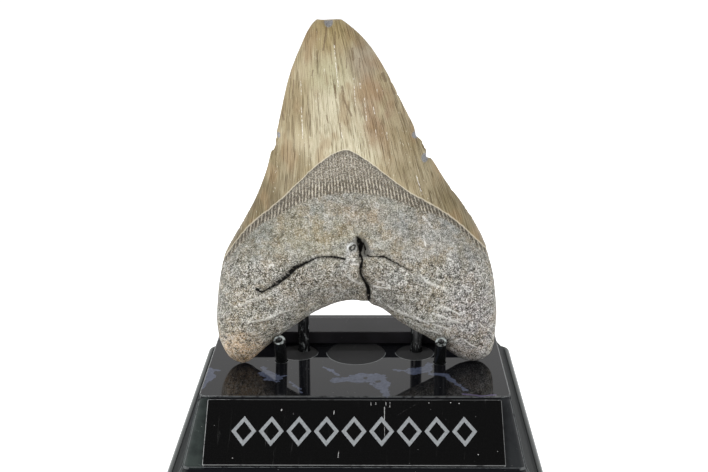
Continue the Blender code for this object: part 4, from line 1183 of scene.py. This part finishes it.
def tooth_finish():
    """Satin enamel with upright streaks, dark ribbed dentine, and matt salt-and-pepper root."""
    finish = Finish("fossil_enamel_and_root", IOR=1.5, Specular_IOR_Level=0.25)
    place = finish.attribute("tooth_place", "Vector")
    _, v, side = finish.parts(place)
    across = finish.attribute("across")
    above = finish.attribute("above_enamel_edge")
    below = finish.attribute("below_band")
    speckle = finish.grain(2.05, 3.0, 0.85)
    fine = finish.grain(3.2, 2.0, 0.6)

    enamel, narrow = enamel_colour(finish, v, across, side, place)
    stone = root_colour(finish, v, finish.place, speckle)
    wave = (finish.attribute("rib_phase") * (2 * math.pi)).math("SINE")
    wobble = finish.noise(finish.join(across * 1.2, v * 0.45, side), 1.0, 3.0, 0.7) - 0.5
    ribs = (wave * 0.55 + wobble * 3.2).ramp(0.05, 0.75)
    comb = below.ramp(-8.0, -3.0) * 0.50 + 0.50
    ribs = ribs * comb + (1.0 - comb) * 0.34
    dentine = finish.blend(ribs, (0.110, 0.096, 0.074), (0.66, 0.61, 0.50))
    dentine = dentine.painted(speckle.ramp(0.54, 0.61) * (1.1 - comb * 0.7), (0.80, 0.77, 0.69))
    dentine = dentine.painted(speckle.ramp(0.48, 0.41) * (1.1 - comb * 0.6), (0.060, 0.052, 0.042))
    dentine = dentine.painted(fine.ramp(0.5, 0.7) * 0.4, (0.36, 0.25, 0.14))
    # Just below the enamel's edge the dentine is painted darker: a painted shadow under the edge's lip.
    shade = above.ramp(-2.6, -0.3) * above.ramp(0.1, -0.2)
    dentine = dentine.painted(shade * 0.45, (0.075, 0.068, 0.056))

    jitter = (speckle - 0.5) * 1.6
    on_root = (below + jitter).ramp(-0.5, 0.7)
    on_enamel = (above + (fine - 0.5) * 0.5).ramp(-0.12, 0.12)
    colour = dentine.painted(on_root, stone)
    # A pale line along the enamel's edge: a painted highlight on its lip.
    lip_highlight = abs(above - 0.10 + jitter * 0.35).ramp(0.38, 0.12)
    colour = colour.painted(on_enamel, enamel).painted(lip_highlight * 0.6, (0.66, 0.60, 0.47))

    torn = (finish.noise(place, 1.3, 2.0, 0.6) - 0.5) * 0.9 + (finish.noise(place, 4.0, 2.0) - 0.5) * 0.5
    painted_crack_shade = line_mask(finish, "crack", torn * 4.5, 1.5, 0.8)
    halo = (finish.attribute("from_crack") + torn * 2.6).ramp(1.0, 0.1)
    # Darker in the hollow beside the nutrient hole: painted shade.
    colour = colour.painted(finish.attribute("painted_shade_by_hole").ramp(0.1, 0.8) * 0.85, (0.10, 0.10, 0.09))
    from_nub = finish.attribute("from_nub") + torn * 1.3
    colour = colour.painted(from_nub.ramp(3.4, 1.6) * speckle.ramp(0.44, 0.54) * 0.7, (0.46, 0.47, 0.46))
    colour = colour.painted(from_nub.ramp(3.2, 2.0) * speckle.ramp(0.47, 0.40) * 0.8, (0.07, 0.07, 0.065))
    lit = abs(from_nub - 1.7).ramp(0.5, 0.1) * (0.25 + v.ramp(48.0, 50.0) * 0.5)
    colour = colour.painted(lit, (0.80, 0.82, 0.82))
    colour = colour.painted(abs(from_nub - 0.85).ramp(0.45, 0.15) * 0.92, (0.02, 0.02, 0.02))
    # The cracks and the nutrient hole are painted near black inside: painted shade in the carved grooves.
    colour = colour.painted(halo * 0.55, (0.11, 0.10, 0.085)).painted(painted_crack_shade * 0.98, (0.006, 0.005, 0.004))
    broken = (finish.attribute("broken_off") + jitter * 0.30).ramp(0.35, 0.75)
    mottle = (fine + speckle * 0.5).ramp(0.62, 0.85)
    broken_grey = finish.blend(mottle, (0.085, 0.085, 0.095), (0.30, 0.31, 0.34))
    colour = colour.painted(broken * 0.88, broken_grey)

    gloss = 0.36 + narrow * 0.14
    rough_value = gloss * on_enamel + (1.0 - on_enamel) * (0.74 + speckle * 0.2)
    grain_height = speckle * 0.6 + fine * 0.4
    root_normal = finish.bump(grain_height * (1.0 - on_enamel), 0.50)
    normal = finish.bump(narrow * on_enamel, 0.10, root_normal)
    finish.set(Base_Color=colour, Roughness=rough_value, Normal=normal)
    return finish.material


finish_piece(make_tooth(), "root", "tooth", tooth_finish())

# The setting: a white floor, a white backdrop that its gloss sees a little darker and that darkens
# overhead, two large soft lights in front and a narrow one behind for the glints on edges.
# The camera stands where the photograph's did, above the tooth and a little to the right.
CAMERA_PLACE = (8.01, -422.65, 222.71)
CAMERA_DOWN, CAMERA_LEFT, CAMERA_ROLL = 18.257, 1.158, -0.432
FOCAL_PIXELS, FRAME_PIXELS = 1100.0, 708.0
SENSOR_WIDTH = 36.0
FLOOR_GAP, FLOOR_GLOW = 0.2, 0.70


def soft_light(name, place, aim, width, height, watts):
    light = bpy.data.lights.new(name, "AREA")
    light.shape = "RECTANGLE"
    light.size, light.size_y = width, height
    light.energy = watts
    lamp = bpy.data.objects.new(name, light)
    bpy.context.scene.collection.objects.link(lamp)
    lamp.location = place
    lamp.rotation_euler = (Vector(aim) - Vector(place)).to_track_quat("-Z", "Y").to_euler()
    lamp.visible_camera = False


def make_floor():
    floor = start("floor", bpy.ops.mesh.primitive_circle_add, vertices=96, radius=6.0, fill_type="NGON",
                  location=(0, 0, -FLOOR_GAP * MM))
    bpy.ops.object.mode_set(mode="OBJECT")
    finish = Finish("white_floor", Roughness=0.9, Specular_IOR_Level=0.1, Emission_Color=(1.0, 1.0, 1.0),
                    Emission_Strength=FLOOR_GLOW)
    mottle = finish.noise(finish.place, 0.004, 2.0)
    finish.set(Base_Color=finish.blend(mottle, (0.90, 0.90, 0.90), (0.93, 0.93, 0.93)))
    floor.data.materials.append(finish.material)


def make_surroundings():
    world = bpy.data.worlds.new("white_room")
    world.use_nodes = True
    bpy.context.scene.world = world
    nodes, links = world.node_tree.nodes, world.node_tree.links
    direction = nodes.new("ShaderNodeTexCoord")
    split = nodes.new("ShaderNodeSeparateXYZ")
    ramp = nodes.new("ShaderNodeMapRange")
    ramp.interpolation_type = "SMOOTHSTEP"
    for name, value in {"From Min": 0.50, "From Max": 0.92, "To Min": 0.76, "To Max": 0.10}.items():
        ramp.inputs[name].default_value = value
    links.new(direction.outputs["Generated"], split.inputs[0])
    links.new(split.outputs["Z"], ramp.inputs["Value"])
    seen = nodes.new("ShaderNodeLightPath")
    choose = nodes.new("ShaderNodeMix")
    choose.inputs["B"].default_value = 1.05
    links.new(seen.outputs["Is Camera Ray"], choose.inputs["Factor"])
    links.new(ramp.outputs["Result"], choose.inputs["A"])
    links.new(choose.outputs["Result"], nodes["Background"].inputs["Strength"])
    nodes["Background"].inputs["Color"].default_value = (1, 1, 1, 1)


make_floor()
make_surroundings()
soft_light("left_softbox", (-0.75, -0.55, 0.55), (0, 0, 0.10), 0.6, 0.6, 5.0)
soft_light("right_softbox", (0.80, -0.50, 0.50), (0, 0, 0.10), 0.6, 0.6, 3.2)
soft_light("rim_light", (-0.05, 0.62, 0.80), (0, 0, 0.03), 0.7, 0.06, 2.2)

camera_data = bpy.data.cameras.new("camera")
camera_data.sensor_width = SENSOR_WIDTH
camera_data.lens = SENSOR_WIDTH * FOCAL_PIXELS / FRAME_PIXELS
camera_data.clip_start, camera_data.clip_end = 0.02, 50.0
camera = bpy.data.objects.new("camera", camera_data)
bpy.context.scene.collection.objects.link(camera)
aim = (Matrix.Rotation(math.radians(CAMERA_LEFT), 4, "Z")
       @ Matrix.Rotation(math.radians(90 - CAMERA_DOWN), 4, "X")
       @ Matrix.Rotation(math.radians(CAMERA_ROLL), 4, "Z"))
camera.matrix_world = Matrix.Translation(Vector(CAMERA_PLACE) * MM) @ aim
bpy.context.scene.camera = camera
bpy.context.scene.view_settings.view_transform = "Standard"
